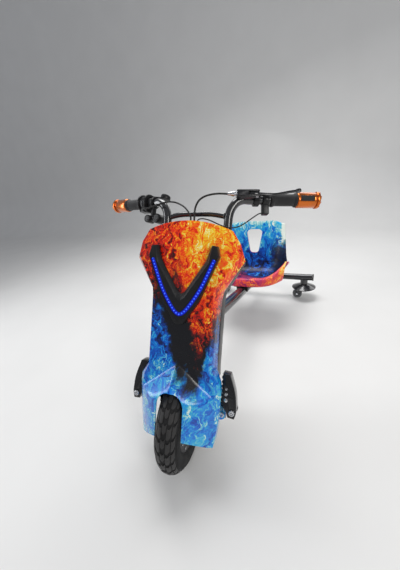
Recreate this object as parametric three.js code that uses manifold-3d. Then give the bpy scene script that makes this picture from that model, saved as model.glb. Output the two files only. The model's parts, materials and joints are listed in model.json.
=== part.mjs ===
// Electric drift tricycle: a driven front wheel under a printed cowl, a bucket seat and two swivelling rear
// casters. Millimetres, +Z up, the front faces -Y and the rider's left is +X. The origin is on the floor, under
// the middle of the object.
import * as THREE from 'three';
import { mergeVertices } from 'three/addons/utils/BufferGeometryUtils.js';
import Module from 'manifold-3d';

const wasm = await Module();
wasm.setup();

// Driving dimensions of the whole vehicle. Places on the front assembly are measured from its datum, a point
// inside the column that lies straight above the vehicle's own origin when the bar is straight.
const DATUM_HEIGHT = 127;
const CASTER_AXIS_BACK = 955;
const CASTER_HALF_TRACK = 245;
const RAKE = THREE.MathUtils.degToRad(24.7);
const STEER_REST = THREE.MathUtils.degToRad(8.5);
const STEER_AXIS_BACK = 25;

// Clearances and the overrun of every cut.
const GAP = 0.3;
const OVERRUN = 4;
const BORE_GAP = 0.45;

// Counts of sides for round pieces.
const SIDES = { tube: 12, small: 10, bolt: 6, wheel: 36, cord: 8, dish: 24 };

const TYRE = { radius: 127, width: 58, sectionHeight: 29, beadAngle: 130, sectionSteps: 10 };
const HUB = { halfWidth: 22, coverReach: 29, bossRadius: 15, bossReach: 33, coverRadius: 66, faceRadius: 30 };
const AXLE = { ahead: 23, drop: 10.4, radius: 6, nutRadius: 11, nutHeight: 8, collarRadius: 10, tail: 4 };
const LEG = { inner: 46, thickness: 6, width: 32 };
const CROWN = { bottom: 141, thickness: 10, lugRadius: 21 };
const COLUMN = { halfWidth: 32, front: -26, back: 0, wall: 3, top: 396, lugHeight: 283, lugThickness: 8 };
const BRIDGE = { beyond: 15, front: -32, back: 4, thickness: 8 };
const KINGPIN = { radius: 8, headRadius: 13, headHeight: 7 };
const BRAKE_PLATE = { radius: 40, thickness: 9 };
const BRAKE_ARM = { thickness: 4, length: 40, radius: 7, pivotRadius: 3.5, pivotReach: 26 };

const COWL = {
  halfWidth: 137.5, height: 478.5, reach: 100, wall: 3, slotHalfWidth: 31.5, archTop: 90, fenderApex: 147,
  fenderReach: 46, holeGap: 1.5,
};
const FENDER_SLOPE_SHARES = { rise: 0.82, spread: 0.78 };
// Rows of the cowl from top to bottom. Each gives the front edge, the outer edge and the seam edge as shares of
// the cowl's half width, height and reach, and then the shares of height and reach at the middle of the row.
const COWL_ROW_SHARES = [
  [[0.713, 0.961, 0.79], [0.778, 0.955, 0.7], [0.749, 0.953, 0.42], [1, 0.86]],
  [[0.851, 0.899, 0.78], [0.909, 0.897, 0.63], [0.873, 0.886, 0.4], [0.924, 0.89]],
  [[0.902, 0.828, 0.78], [1, 0.817, 0.57], [0.96, 0.815, 0.38], [0.836, 0.91]],
  [[0.72, 0.744, 0.85], [0.822, 0.734, 0.59], [0.8, 0.731, 0.39], [0.748, 0.92]],
  [[0.545, 0.665, 0.91], [0.651, 0.66, 0.63], [0.655, 0.66, 0.41], [0.665, 0.92]],
  [[0.538, 0.627, 0.89], [0.596, 0.625, 0.74], [0.636, 0.623, 0.44], [0.627, 0.91]],
  [[0.538, 0.449, 0.88], [0.589, 0.449, 0.76], [0.625, 0.449, 0.45], [0.449, 0.9]],
  [[0.538, 0.274, 0.88], [0.589, 0.274, 0.76], [0.629, 0.274, 0.45], [0.307, 0.89]],
  [[0.632, 0.219, 0.84], [0.724, 0.213, 0.7], [0.724, 0.213, 0.48], [0.25, 0.88]],
  [[0.655, 0.176, 0.82], [0.749, 0.171, 0.66], [0.74, 0.171, 0.48], [0.19, 0.87]],
  [[0.662, 0.109, 0.79], [0.745, 0.104, 0.62], [0.724, 0.104, 0.47], [0.123, 0.85]],
  [[0.651, 0.036, 0.76], [0.727, 0.031, 0.61], [0.716, 0.031, 0.21], [0.069, 0.85]],
  [[0.582, -0.092, 0.74], [0.662, -0.102, 0.62], [0.662, -0.102, 0.21], [-0.021, 0.84]],
];
const COWL_COLUMN_SHARES = [-1, -0.62, -0.36, -0.17, 0, 0.17, 0.36, 0.62, 1];
const REAR_COVER = {
  lastRow: 7, bottom: 104, bottomHalfWidth: 87.5, back: 10, backShare: 0.84, midReach: 2, lugGap: 2.5,
};
const TAB = {
  inner: 90, outer: 110.5, bottom: 0, top: 33.5, thickness: 3.4, holeX: 100, holeZ: 13, boltRadius: 4.5,
};

const LAMP = { halfWidth: 85.5, bottom: 236, height: 184, base: 91.6, depth: 11, ledWidth: 9, ledDepth: 3 };
// Outlines as shares of the lamp's half width and height.
const LAMP_OUTLINE_SHARES = [
  [0, 0], [0.14, 0.022], [0.54, 0.315], [1, 0.864], [0.936, 0.989], [0.772, 1], [0.632, 0.804],
  [0.094, 0.418], [0, 0.386],
];
const LED_LINE_SHARES = [[0, 0.136], [0.105, 0.158], [0.491, 0.413], [0.877, 0.821]];

const BATTERY = { halfWidth: 55, depth: 48, bottom: 172, height: 125 };
const CONTROLLER = { halfWidth: 42, depth: 32, bottom: 312, height: 70 };
const PORT = { above: 39, radius: 9, flange: 12, lip: 2.4, bore: 5, boreDepth: 9 };
const POWER = { above: 32, radius: 9, cap: 6.2, travel: 2, flange: 2 };

const BAR = { radius: 11.1, endInset: 3.2, spare: 1, sweep: 18, tilt: 3.9 };
const BAR_STRAIGHT_SHARES = [1, 0.66, 0.33];
const RISER = {
  halfGap: 83, front: -14, above: 16.5, bendOut: 46.95, bendBack: 16.05, bendUp: 56.1, steps: 20,
};
// Points of the riser's bend as shares of its way outward, rearward and up from the knee.
const RISER_BEND_SHARES = [[0.03, 0.02, 0.27], [0.13, 0.08, 0.55], [0.4, 0.28, 0.86], [0.72, 0.62, 0.985]];
const CROSSBAR = { radius: 7, above: 11, arch: 5, crest: 6, bow: 5, steps: 6 };
const GRIP_END = {
  length: 57, radius: 19, ringRadius: 20.5, ringLength: 9, groove: 1.6, window: 34, windowHeight: 15,
};
const GRIP = { length: 65, radius: 14.5, flangeRadius: 17, flangeLength: 6, taper: 6, endRadius: 17.5 };
const THROTTLE = {
  length: 31, ringRadius: 25, ringLength: 6, bodyRadius: 21, footDrop: 26, footWidth: 20, cableDrop: 21.5,
  cableInset: 13.7,
};
// Clamps stand in a row along the bar: each has its length, and its space from the piece outboard of it.
const PERCH = {
  space: 9, clampLength: 14, clampRadius: 16, tilt: 9, bodyIn: 46, bodyOut: 9, bodyNear: 20, bodyFar: 38,
  bodyHalf: 8, slotHalf: 4.4, pivotReach: 31, pivotOut: 3,
};
const LEVER = {
  length: 93, thickness: 7, width: 9, dip: 3, tipRise: 15, tailReach: 17.6, pinRadius: 3, ball: 7,
};
// The lever's centre line: share of its length, and share of its dip or rise.
const LEVER_LINE_SHARES = [[0, 0], [0.25, -1], [0.5, -0.6], [0.78, 0.6], [1, 1]];
const BARREL = { length: 22, radius: 6.5, tipRadius: 3.6, reach: 30 };
const HORN = { space: 6, clampLength: 15, clampRadius: 16, drop: 37, width: 16, depth: 18, wireDrop: 33.1 };
const BUTTON = { radius: 5, cap: 7, travel: 1.6, seat: 6 };
const SWITCH = {
  space: 0.5, clampLength: 10, clampRadius: 16, outerRadius: 11, innerRadius: 13, depth: 24, knobOut: 17,
  knobIn: 18, drop: 45, web: 12,
};
const POD = {
  space: 1.2, clampLength: 9, clampRadius: 15, radius: 14, depth: 12, reach: 26.5, back: 20, rise: 19,
  tilt: 15, armBottom: 17, armThickness: 3, armWidth: 12,
};

const GLAND = { x: 5, front: -50, halfLength: 15, radius: 7, height: 6, pitch: 9 };
const CABLE = { brake: 2.4, throttle: 2.2, wire: 1.5, brakeSteps: 14, throttleSteps: 21, wireSteps: 28 };

const PEG = {
  hingeX: 127, hingeZ: 32, front: -44, thickness: 26, length: 90, innerReach: 28, boltRadius: 4, headRadius: 7,
  headHeight: 4, toothDepth: 3, toothedLength: 74, teeth: 7, holeX: 111,
};
// The peg's smooth edge from tip to root and its holes, as shares of the peg's length from the hinge.
const PEG_EDGE_SHARES = [
  [-0.29, 1], [-0.09, 0.985], [0.07, 0.5], [0.11, 0.2], [0.115, 0], [0.07, -0.155], [-0.1, -0.14], [-0.155, 0],
];
const PEG_HOLE_SHARES = [[0.59, 0.042], [0.445, 0.05], [0.29, 0.058]];
// A tooth's ends and the foot of the gap after it, as shares of the pitch.
const TOOTH_SHARES = { start: 0.25, end: 0.6, root: 0.85 };
const BRACKET = { thickness: 8, height: 24, bottom: 20, eyeRadius: 12, lugBottom: 4 };

const HEAD_TUBE = { radius: 20, wall: 3.6, bearing: 12 };
const MAIN_TUBE = {
  radius: 21, wall: 2.5, joint: 620, rise: 190, gussetDepth: 52, gussetLength: 90, gusset: 6,
};
const REAR_TUBE = { overlap: 150, wall: 2.5 };
const LENGTH_BOLT = { radius: 5, headRadius: 9, inset: 30, head: 6 };
const BEAM = { radius: 17, wall: 2.2, halfLength: 286, height: 125, capRadius: 18.5, capLength: 6, plug: 14 };
const HOUSING = { radius: 19, bottom: 88, bore: 9, boreDepth: 18 };
const CHEEK_SHARES = { foot: 0.6, footSpread: 0.7, crownOut: 0.75, crownIn: 0.25, crownSpread: 0.5 };
const DISH = { radius: 61, rim: 67, rimThickness: 3, top: 85, topRadius: 22, bottom: 53, bottomRadius: 40 };
const CASTER = {
  wheelRadius: 25, wheelWidth: 22, trail: 32, plate: 3, plateWidth: 24, pin: 4, crown: 3, gap: 1.2,
};

const SEAT = {
  front: 566, length: 310, bottom: 207, height: 248, halfWidth: 184, sideRise: 84, wall: 6, cornerDrop: 24,
  frontSweep: 112, columns: 16,
};
// Stations of the seat shell from the front lip to the top of the back, as shares of the seat's length, height,
// half width, side rise and front sweep, by which its ends lie behind its middle.
const SEAT_STATION_SHARES = [
  { back: 0, height: 0.073, width: 0.9, rise: 0.3, sweep: 1 },
  { back: 0.01, height: 0.15, width: 0.93, rise: 0.35, sweep: 0.97 },
  { back: 0.036, height: 0.198, width: 0.95, rise: 0.45, sweep: 0.92 },
  { back: 0.1, height: 0.2, width: 0.965, rise: 0.56, sweep: 0.8 },
  { back: 0.2, height: 0.135, width: 0.985, rise: 0.74, sweep: 0.58 },
  { back: 0.34, height: 0.069, width: 1, rise: 0.83, sweep: 0.3 },
  { back: 0.48, height: 0.024, width: 1.01, rise: 0.85, sweep: 0.1 },
  { back: 0.625, height: 0, width: 1.005, rise: 0.85, sweep: 0 },
  { back: 0.746, height: 0.016, width: 0.995, rise: 0.82, sweep: 0 },
  { back: 0.825, height: 0.089, width: 0.97, rise: 0.74, sweep: 0 },
  { back: 0.871, height: 0.214, width: 0.93, rise: 0.62, sweep: 0 },
  { back: 0.9, height: 0.395, width: 0.885, rise: 0.45, sweep: 0 },
  { back: 0.929, height: 0.597, width: 0.855, rise: 0.31, sweep: 0 },
  { back: 0.962, height: 0.798, width: 0.825, rise: 0.19, sweep: 0 },
  { back: 0.987, height: 0.94, width: 0.8, rise: 0.131, sweep: 0 },
  { back: 1, height: 1, width: 0.775, rise: 0.095, sweep: 0 },
];
const SEAT_FLANK_SHARES = { start: 0.45, lean: 0.1 };
const SEAT_WINDOW = { below: 98, length: 118, topHalf: 40, bottomHalf: 23, corner: 13, depth: 90 };
const SADDLE = { frontBack: 604, rearBack: 762, length: 40, halfWidth: 38, wrap: 5 };

// Solids and boolean cuts.

function toSolid(geometry) {
  const plain = geometry.clone();
  for (const name of Object.keys(plain.attributes)) {
    if (name !== 'position') plain.deleteAttribute(name);
  }
  const merged = mergeVertices(plain);
  const corners = merged.index.array;
  const kept = [];
  for (let i = 0; i < corners.length; i += 3) {
    const [a, b, c] = [corners[i], corners[i + 1], corners[i + 2]];
    if (a !== b && b !== c && c !== a) kept.push(a, b, c);
  }
  const vertProperties = new Float32Array(merged.attributes.position.array);
  return new wasm.Manifold(new wasm.Mesh({ numProp: 3, vertProperties, triVerts: new Uint32Array(kept) }));
}

function toGeometry(solid) {
  const mesh = solid.getMesh();
  const geometry = new THREE.BufferGeometry();
  geometry.setAttribute('position', new THREE.BufferAttribute(new Float32Array(mesh.vertProperties), 3));
  geometry.setIndex(new THREE.BufferAttribute(new Uint32Array(mesh.triVerts), 1));
  geometry.computeVertexNormals();
  return geometry;
}

function join(...pieces) {
  return toGeometry(pieces.map(toSolid).reduce((sum, solid) => sum.add(solid)));
}

function cut(body, ...tools) {
  return toGeometry(tools.map(toSolid).reduce((rest, tool) => rest.subtract(tool), toSolid(body)));
}

function common(body, tool) {
  return toGeometry(toSolid(body).intersect(toSolid(tool)));
}

// Simple shapes.

function block(x0, x1, y0, y1, z0, z1) {
  const box = new THREE.BoxGeometry(x1 - x0, y1 - y0, z1 - z0);
  return box.translate((x0 + x1) / 2, (y0 + y1) / 2, (z0 + z1) / 2);
}

function aim(geometry, axis) {
  if (axis === 'x') return geometry.rotateZ(-Math.PI / 2);
  if (axis === 'z') return geometry.rotateX(Math.PI / 2);
  return geometry;
}

function rod(radius, from, to, sides, axis, tipRadius = radius) {
  const length = to - from;
  const shape = new THREE.CylinderGeometry(tipRadius, radius, length, sides);
  return aim(shape.translate(0, from + length / 2, 0), axis);
}

function turned(profile, sides, axis) {
  const points = profile.map(([radius, along]) => new THREE.Vector2(radius, along));
  return aim(new THREE.LatheGeometry(points, sides), axis);
}

function pipe(outer, inner, from, to, sides, axis) {
  return turned([[inner, from], [outer, from], [outer, to], [inner, to], [inner, from]], sides, axis);
}

function plate(outline, thickness) {
  const shape = new THREE.Shape(outline.map(([x, y]) => new THREE.Vector2(x, y)));
  return new THREE.ExtrudeGeometry(shape, { depth: thickness, bevelEnabled: false });
}

// A plate whose outline lies across X and Z and whose thickness runs back from y = front.
function uprightPlate(outline, front, thickness) {
  return plate(outline, thickness).rotateX(Math.PI / 2).translate(0, front + thickness, 0);
}

function sweep(points, radius, sides, steps) {
  const path = new THREE.CatmullRomCurve3(points.map((p) => new THREE.Vector3(...p)));
  const section = new THREE.Shape();
  for (let i = 0; i < sides; i += 1) {
    const turn = (i / sides) * 2 * Math.PI;
    section[i ? 'lineTo' : 'moveTo'](radius * Math.cos(turn), radius * Math.sin(turn));
  }
  return new THREE.ExtrudeGeometry(section, { steps, extrudePath: path, bevelEnabled: false });
}

function mirrored(outline) {
  const left = outline.filter(([x]) => x > 0).map(([x, z]) => [-x, z]).reverse();
  return [...outline, ...left];
}

function roundCorner(radius, inner, sides) {
  return inner ? radius / Math.cos(Math.PI / sides) : radius;
}

// Bodies lofted through closed layers: each layer is a grid of rows and columns of points.

function gridBody(layers) {
  const rows = layers[0].length;
  const columns = layers[0][0].length;
  const rim = rimOrder(rows, columns);
  const first = layers[0];
  const last = layers[layers.length - 1];
  const corners = [];
  const quad = (a, b, c, d) => corners.push(a, b, c, a, c, d);
  for (let r = 0; r + 1 < rows; r += 1) {
    for (let c = 0; c + 1 < columns; c += 1) {
      quad(first[r][c], first[r + 1][c], first[r + 1][c + 1], first[r][c + 1]);
      quad(last[r][c], last[r][c + 1], last[r + 1][c + 1], last[r + 1][c]);
    }
  }
  for (let k = 0; k + 1 < layers.length; k += 1) {
    rim.forEach(([r, c], i) => {
      const [nextRow, nextColumn] = rim[(i + 1) % rim.length];
      const near = layers[k];
      const far = layers[k + 1];
      quad(near[r][c], near[nextRow][nextColumn], far[nextRow][nextColumn], far[r][c]);
    });
  }
  const geometry = new THREE.BufferGeometry();
  geometry.setAttribute('position', new THREE.Float32BufferAttribute(corners.flat(), 3));
  return geometry;
}

function rimOrder(rows, columns) {
  const rim = [];
  for (let c = 0; c < columns; c += 1) rim.push([0, c]);
  for (let r = 1; r < rows; r += 1) rim.push([r, columns - 1]);
  for (let c = columns - 2; c >= 0; c -= 1) rim.push([rows - 1, c]);
  for (let r = rows - 2; r > 0; r -= 1) rim.push([r, 0]);
  return rim;
}

// Finish and placing.

function finish(color, roughness, metalness) {
  return new THREE.MeshStandardMaterial({ color, roughness, metalness });
}

const blackSteel = () => finish(0x151517, 0.35, 0.6);
const blackPlastic = () => finish(0x1b1b1e, 0.45, 0);
const brightSteel = () => finish(0xc9ccd0, 0.25, 1);
const rubber = () => finish(0x1c1c1c, 0.85, 0);
const orangeMetal = () => finish(0xe06a12, 0.25, 0.9);
const printedCowl = () => finish(0xd2521a, 0.15, 0);
const printedSeat = () => finish(0x2c74c8, 0.25, 0);
const cordSkin = () => finish(0x101010, 0.5, 0);

function addPart(parent, name, geometry, material) {
  const mesh = new THREE.Mesh(geometry, material);
  mesh.name = name;
  parent.add(mesh);
  return mesh;
}

function subgroup(parent) {
  const group = new THREE.Group();
  parent.add(group);
  return group;
}

// Front wheel: a motor in the hub and a tyre around it, turning about X at the local origin.

function tyreBeadRadius() {
  const drop = Math.cos(THREE.MathUtils.degToRad(TYRE.beadAngle)) * TYRE.sectionHeight;
  return TYRE.radius - TYRE.sectionHeight + drop;
}

function buildTyre(parent) {
  const bead = THREE.MathUtils.degToRad(TYRE.beadAngle);
  const profile = [];
  for (let i = 0; i <= TYRE.sectionSteps; i += 1) {
    const turn = -bead + (2 * bead * i) / TYRE.sectionSteps;
    const radius = TYRE.radius - TYRE.sectionHeight * (1 - Math.cos(turn));
    profile.push([radius, (TYRE.width / 2) * Math.sin(turn)]);
  }
  profile.push(profile[0]);
  addPart(parent, 'tyre', turned(profile, SIDES.wheel, 'x'), rubber());
}

function buildHub(parent) {
  const rim = tyreBeadRadius() - BORE_GAP;
  const bore = roundCorner(AXLE.radius + BORE_GAP, true, SIDES.small);
  const profile = [
    [bore, -HUB.coverReach], [HUB.faceRadius, -HUB.coverReach], [HUB.coverRadius, -HUB.halfWidth],
    [rim, -HUB.halfWidth], [rim, HUB.halfWidth], [HUB.coverRadius, HUB.halfWidth],
    [HUB.faceRadius, HUB.coverReach], [HUB.bossRadius, HUB.coverReach], [HUB.bossRadius, HUB.bossReach],
    [bore, HUB.bossReach], [bore, -HUB.coverReach],
  ];
  addPart(parent, 'hub_motor', turned(profile, SIDES.wheel, 'x'), finish(0x2a2b2e, 0.4, 0.7));
}

// Fork, axle and the steel column inside the cowl.

const legOuter = LEG.inner + LEG.thickness;
const legFront = -AXLE.ahead - LEG.width / 2;
const legBack = LEG.width / 2 - AXLE.ahead;
const crownTop = CROWN.bottom + CROWN.thickness;

function buildAxle(parent) {
  const plateOuter = HUB.coverReach + GAP + BRAKE_PLATE.thickness;
  const nutEnd = legOuter + GAP + AXLE.nutHeight;
  const end = nutEnd + AXLE.tail;
  const pieces = [rod(AXLE.radius, -end, end, SIDES.small, 'x')];
  for (const side of [-1, 1]) {
    const start = legOuter + GAP;
    const nut = rod(AXLE.nutRadius, start, nutEnd, SIDES.bolt, 'x');
    pieces.push(side < 0 ? nut.rotateZ(Math.PI) : nut);
  }
  pieces.push(rod(AXLE.collarRadius, HUB.bossReach + GAP, LEG.inner - GAP, SIDES.small, 'x'));
  pieces.push(rod(AXLE.collarRadius, GAP - LEG.inner, -plateOuter - GAP, SIDES.small, 'x'));
  addPart(parent, 'front_axle', join(...pieces), brightSteel());
}

function buildLegs(parent) {
  for (const [side, word] of [[1, 'left'], [-1, 'right']]) {
    const near = side > 0 ? LEG.inner : -legOuter;
    const bar = block(near, near + LEG.thickness, legFront, legBack, -AXLE.drop, CROWN.bottom - GAP);
    const foot = atAxle(rod(LEG.width / 2, near, near + LEG.thickness, SIDES.tube, 'x'));
    const bore = atAxle(rod(roundCorner(AXLE.radius + GAP, true, SIDES.small), -legOuter - OVERRUN,
      legOuter + OVERRUN, SIDES.small, 'x'));
    addPart(parent, `fork_leg_${word}`, cut(join(bar, foot), bore), blackSteel());
  }
}

function atAxle(geometry) {
  return geometry.translate(0, -AXLE.ahead, -AXLE.drop);
}

function atSteerAxis(geometry) {
  return geometry.translate(0, STEER_AXIS_BACK, 0);
}

function buildCrown(parent) {
  const lug = atSteerAxis(rod(CROWN.lugRadius, CROWN.bottom, crownTop, SIDES.tube, 'z'));
  const arm = block(-CROWN.lugRadius, CROWN.lugRadius, legFront, STEER_AXIS_BACK, CROWN.bottom, crownTop);
  const top = block(-legOuter, legOuter, legFront, legBack, CROWN.bottom, crownTop);
  addPart(parent, 'fork_crown', cut(join(top, arm, lug), kingpinHole(CROWN.bottom, crownTop)), blackSteel());
}

function kingpinHole(from, to) {
  const radius = roundCorner(KINGPIN.radius + GAP, true, SIDES.small);
  return atSteerAxis(rod(radius, from - OVERRUN, to + OVERRUN, SIDES.small, 'z'));
}

const lugTop = COLUMN.lugHeight + COLUMN.lugThickness;
const bridgeTop = COLUMN.top + BRIDGE.thickness;
const portHeight = lugTop + PORT.above;
const powerHeight = portHeight + POWER.above;

function buildColumn(parent) {
  const { halfWidth, front, back, wall, top } = COLUMN;
  const start = crownTop + GAP;
  const hollow = block(wall - halfWidth, halfWidth - wall, front + wall, back - wall, start - OVERRUN,
    top - wall);
  const tube = cut(block(-halfWidth, halfWidth, front, back, start, top + wall), hollow);
  const lug = atSteerAxis(rod(CROWN.lugRadius, COLUMN.lugHeight, lugTop, SIDES.tube, 'z'));
  const arm = block(-CROWN.lugRadius, CROWN.lugRadius, back - wall / 2, STEER_AXIS_BACK, COLUMN.lugHeight,
    lugTop);
  const bridgeHalf = RISER.halfGap + BRIDGE.beyond;
  const bridge = block(-bridgeHalf, bridgeHalf, BRIDGE.front, BRIDGE.back, top, bridgeTop);
  const body = cut(join(tube, arm, lug, bridge), kingpinHole(COLUMN.lugHeight, lugTop));
  addPart(parent, 'column_frame', body, blackSteel());
}

function buildKingpin(parent) {
  const low = CROWN.bottom - GAP;
  const high = lugTop + GAP;
  const shaft = rod(KINGPIN.radius, low - KINGPIN.headHeight, high + KINGPIN.headHeight, SIDES.small, 'z');
  const foot = rod(KINGPIN.headRadius, low - KINGPIN.headHeight, low, SIDES.bolt, 'z');
  const head = rod(KINGPIN.headRadius, high, high + KINGPIN.headHeight, SIDES.bolt, 'z');
  addPart(parent, 'kingpin', atSteerAxis(join(shaft, foot, head)), brightSteel());
}

// Drum brake on the right of the wheel, worked by a short arm.

const brakeInner = HUB.coverReach + GAP;
const brakeOuter = brakeInner + BRAKE_PLATE.thickness;

function buildBrake(parent) {
  const bore = roundCorner(AXLE.radius + GAP, true, SIDES.small);
  const disc = pipe(BRAKE_PLATE.radius, bore, -brakeOuter, -brakeInner, SIDES.dish, 'x');
  const pivotEnd = brakeOuter + GAP + BRAKE_ARM.thickness + GAP;
  const pivotStart = -brakeInner - BRAKE_PLATE.thickness / 2;
  const pivot = rod(BRAKE_ARM.pivotRadius, -pivotEnd, pivotStart, SIDES.small, 'x');
  pivot.translate(0, 0, BRAKE_ARM.pivotReach);
  addPart(parent, 'brake_plate', join(disc, pivot), finish(0x8e9196, 0.4, 0.9));

  const near = -brakeOuter - GAP - BRAKE_ARM.thickness;
  const span = [near, near + BRAKE_ARM.thickness];
  const eye = rod(BRAKE_ARM.radius, ...span, SIDES.small, 'x');
  const tip = rod(BRAKE_ARM.radius, ...span, SIDES.small, 'x').translate(0, BRAKE_ARM.length, 0);
  const bar = block(...span, 0, BRAKE_ARM.length, -BRAKE_ARM.radius / 2, BRAKE_ARM.radius / 2);
  const holeRadius = roundCorner(BRAKE_ARM.pivotRadius + GAP, true, SIDES.small);
  const hole = rod(holeRadius, near - OVERRUN, OVERRUN, SIDES.small, 'x');
  const arm = cut(join(eye, tip, bar), hole).translate(0, 0, BRAKE_ARM.pivotReach);
  addPart(parent, 'brake_arm', arm, brightSteel());
}

// Cowl: a printed front shell and a black rear cover, both lofted from the table of rows.

function cowlRows() {
  const { halfWidth, height, reach } = COWL;
  const scale = ([x, z, y]) => [x * halfWidth, z * height, y * reach];
  return COWL_ROW_SHARES.map(([front, outer, seam, [z, y]]) => (
    { front: scale(front), outer: scale(outer), seam: scale(seam), middle: [z * height, y * reach] }));
}

const COWL_ROWS = cowlRows();
const lowSeam = COWL_ROWS[COWL_ROWS.length - 1].seam[2];

// How far the fender over the wheel stands out of the face: it rises below a crease that falls to each side.
function fenderBulge(x, z, share) {
  const { rise, spread } = FENDER_SLOPE_SHARES;
  const wedge = Math.max(0, COWL.fenderApex - z - spread * Math.abs(x)) * rise;
  return Math.min(wedge, COWL.fenderReach * (1 - share * share));
}

// A point of a row at a share across it: the front face is crowned towards the middle of the row.
function facePoint(row, share, inset) {
  const [halfWidth, height, reach] = row.front;
  const [middleHeight, middleReach] = row.middle;
  const crown = 1 - share * share;
  const x = share * (halfWidth - inset);
  const z = height + (middleHeight - height) * crown;
  return [x, inset - reach - (middleReach - reach) * crown - fenderBulge(x, z, share), z];
}

function edgePoint(row, kind, share, inset, y) {
  const [halfWidth, height, reach] = row[kind];
  const crown = 1 - share * share;
  const z = height + (row.middle[0] - row.front[1]) * crown;
  return [share * (halfWidth - inset), y ?? -reach, z];
}

function shiftEnds(layer, topShift, bottomShift) {
  return layer.map((row, r) => row.map(([x, y, z]) => {
    if (r === 0) return [x, y, z - topShift];
    if (r === layer.length - 1) return [x, y, z - bottomShift];
    return [x, y, z];
  }));
}

function frontCowlBody(inset, back) {
  const across = (point) => COWL_ROWS.map((row) => COWL_COLUMN_SHARES.map((share) => point(row, share)));
  const face = across((row, share) => facePoint(row, share, inset));
  const outer = across((row, share) => edgePoint(row, 'outer', share, inset));
  const seam = across((row, share) => edgePoint(row, 'seam', share, inset));
  const layers = [face, outer, seam];
  if (back) layers.push(seam.map((row) => row.map(([x, y, z]) => [x, y + back, z])));
  const bottomShift = inset ? OVERRUN : 0;
  return gridBody(layers.map((layer) => shiftEnds(layer, inset, bottomShift)));
}

function wheelSlot() {
  const half = COWL.slotHalfWidth;
  const centre = COWL.archTop - half;
  const low = -COWL.height;
  const outline = [[half, low], [half, centre]];
  for (let i = 1; i < SIDES.tube; i += 1) {
    const turn = (i / SIDES.tube) * Math.PI;
    outline.push([half * Math.cos(turn), centre + half * Math.sin(turn)]);
  }
  outline.push([-half, centre], [-half, low]);
  return uprightPlate(outline, -COWL.reach * 2, COWL.reach * 2);
}

function riserHoles(from, to) {
  const radius = roundCorner(BAR.radius + COWL.holeGap, true, SIDES.tube);
  return [-1, 1].map((side) => rod(radius, from, to, SIDES.tube, 'z')
    .translate(side * RISER.halfGap, RISER.front, 0));
}

function tabPlate(side) {
  const [near, far] = side > 0 ? [TAB.inner, TAB.outer] : [-TAB.outer, -TAB.inner];
  return block(near, far, -lowSeam - TAB.thickness, -lowSeam, TAB.bottom, TAB.top);
}

function buildFrontCowl(parent) {
  const outside = frontCowlBody(0, 0);
  const inside = frontCowlBody(COWL.wall, OVERRUN);
  const tabs = [tabPlate(1), tabPlate(-1)];
  const shell = join(cut(outside, inside), ...tabs);
  const bolts = [-1, 1].map((side) => tabBoltHole(side));
  addPart(parent, 'cowl_front', cut(shell, wheelSlot(), ...bolts), printedCowl());
}

function tabBoltHole(side) {
  const radius = roundCorner(TAB.boltRadius + GAP, true, SIDES.small);
  return rod(radius, -lowSeam - TAB.thickness - OVERRUN, OVERRUN - lowSeam, SIDES.small, 'y')
    .translate(side * TAB.holeX, 0, TAB.holeZ);
}

// The cover's lowest row: straight across, under the last row that it shares with the cowl.
function coverFoot(row) {
  const { bottom, bottomHalfWidth } = REAR_COVER;
  const seam = [bottomHalfWidth, bottom, row.seam[2]];
  return { front: [bottomHalfWidth, bottom, 0], seam, middle: [bottom, 0] };
}

function rearCoverBody(inset, front) {
  const rows = COWL_ROWS.slice(0, REAR_COVER.lastRow + 1);
  rows.push(coverFoot(rows[REAR_COVER.lastRow]));
  const across = (point) => rows.map((row) => COWL_COLUMN_SHARES.map((share) => point(row, share)));
  const seam = across((row, share) => edgePoint(row, 'seam', share, inset, GAP - row.seam[2]));
  const middle = across((row, share) => edgePoint(row, 'seam', share, inset, -REAR_COVER.midReach));
  const back = across((row, share) => {
    const [x, , z] = edgePoint(row, 'seam', share, inset);
    return [x * REAR_COVER.backShare, REAR_COVER.back - inset, z];
  });
  const layers = [seam, middle, back];
  if (front) layers.unshift(seam.map((row) => row.map(([x, y, z]) => [x, y - front, z])));
  return gridBody(layers.map((layer) => shiftEnds(layer, inset, inset ? OVERRUN : 0)));
}

function backSlot(halfWidth, from, to) {
  const half = halfWidth + REAR_COVER.lugGap;
  const [low, high] = [from - REAR_COVER.lugGap, to + REAR_COVER.lugGap];
  return block(-half, half, COLUMN.back, REAR_COVER.back + OVERRUN, low, high);
}

function buildRearCover(parent) {
  const shell = cut(rearCoverBody(0, 0), rearCoverBody(COWL.wall, OVERRUN));
  const upper = backSlot(CROWN.lugRadius, 0, lugTop);
  const lower = backSlot(legOuter, 0, crownTop);
  const port = rod(roundCorner(PORT.radius + GAP, true, SIDES.small), COLUMN.back, REAR_COVER.back + OVERRUN,
    SIDES.small, 'y').translate(0, 0, portHeight);
  const power = rod(roundCorner(POWER.cap + GAP, true, SIDES.small), COLUMN.back, REAR_COVER.back + OVERRUN,
    SIDES.small, 'y').translate(0, 0, powerHeight);
  const roofHeight = COWL_ROWS[0].middle[0];
  const holes = riserHoles(bridgeTop, roofHeight + OVERRUN);
  addPart(parent, 'cowl_rear', cut(shell, upper, lower, port, power, ...holes), blackPlastic());
}

// Light bar: a V of black plastic on the cowl's face with a blue strip set into it.

function lampPlace([x, z]) {
  return [x * LAMP.halfWidth, LAMP.bottom + z * LAMP.height];
}

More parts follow.
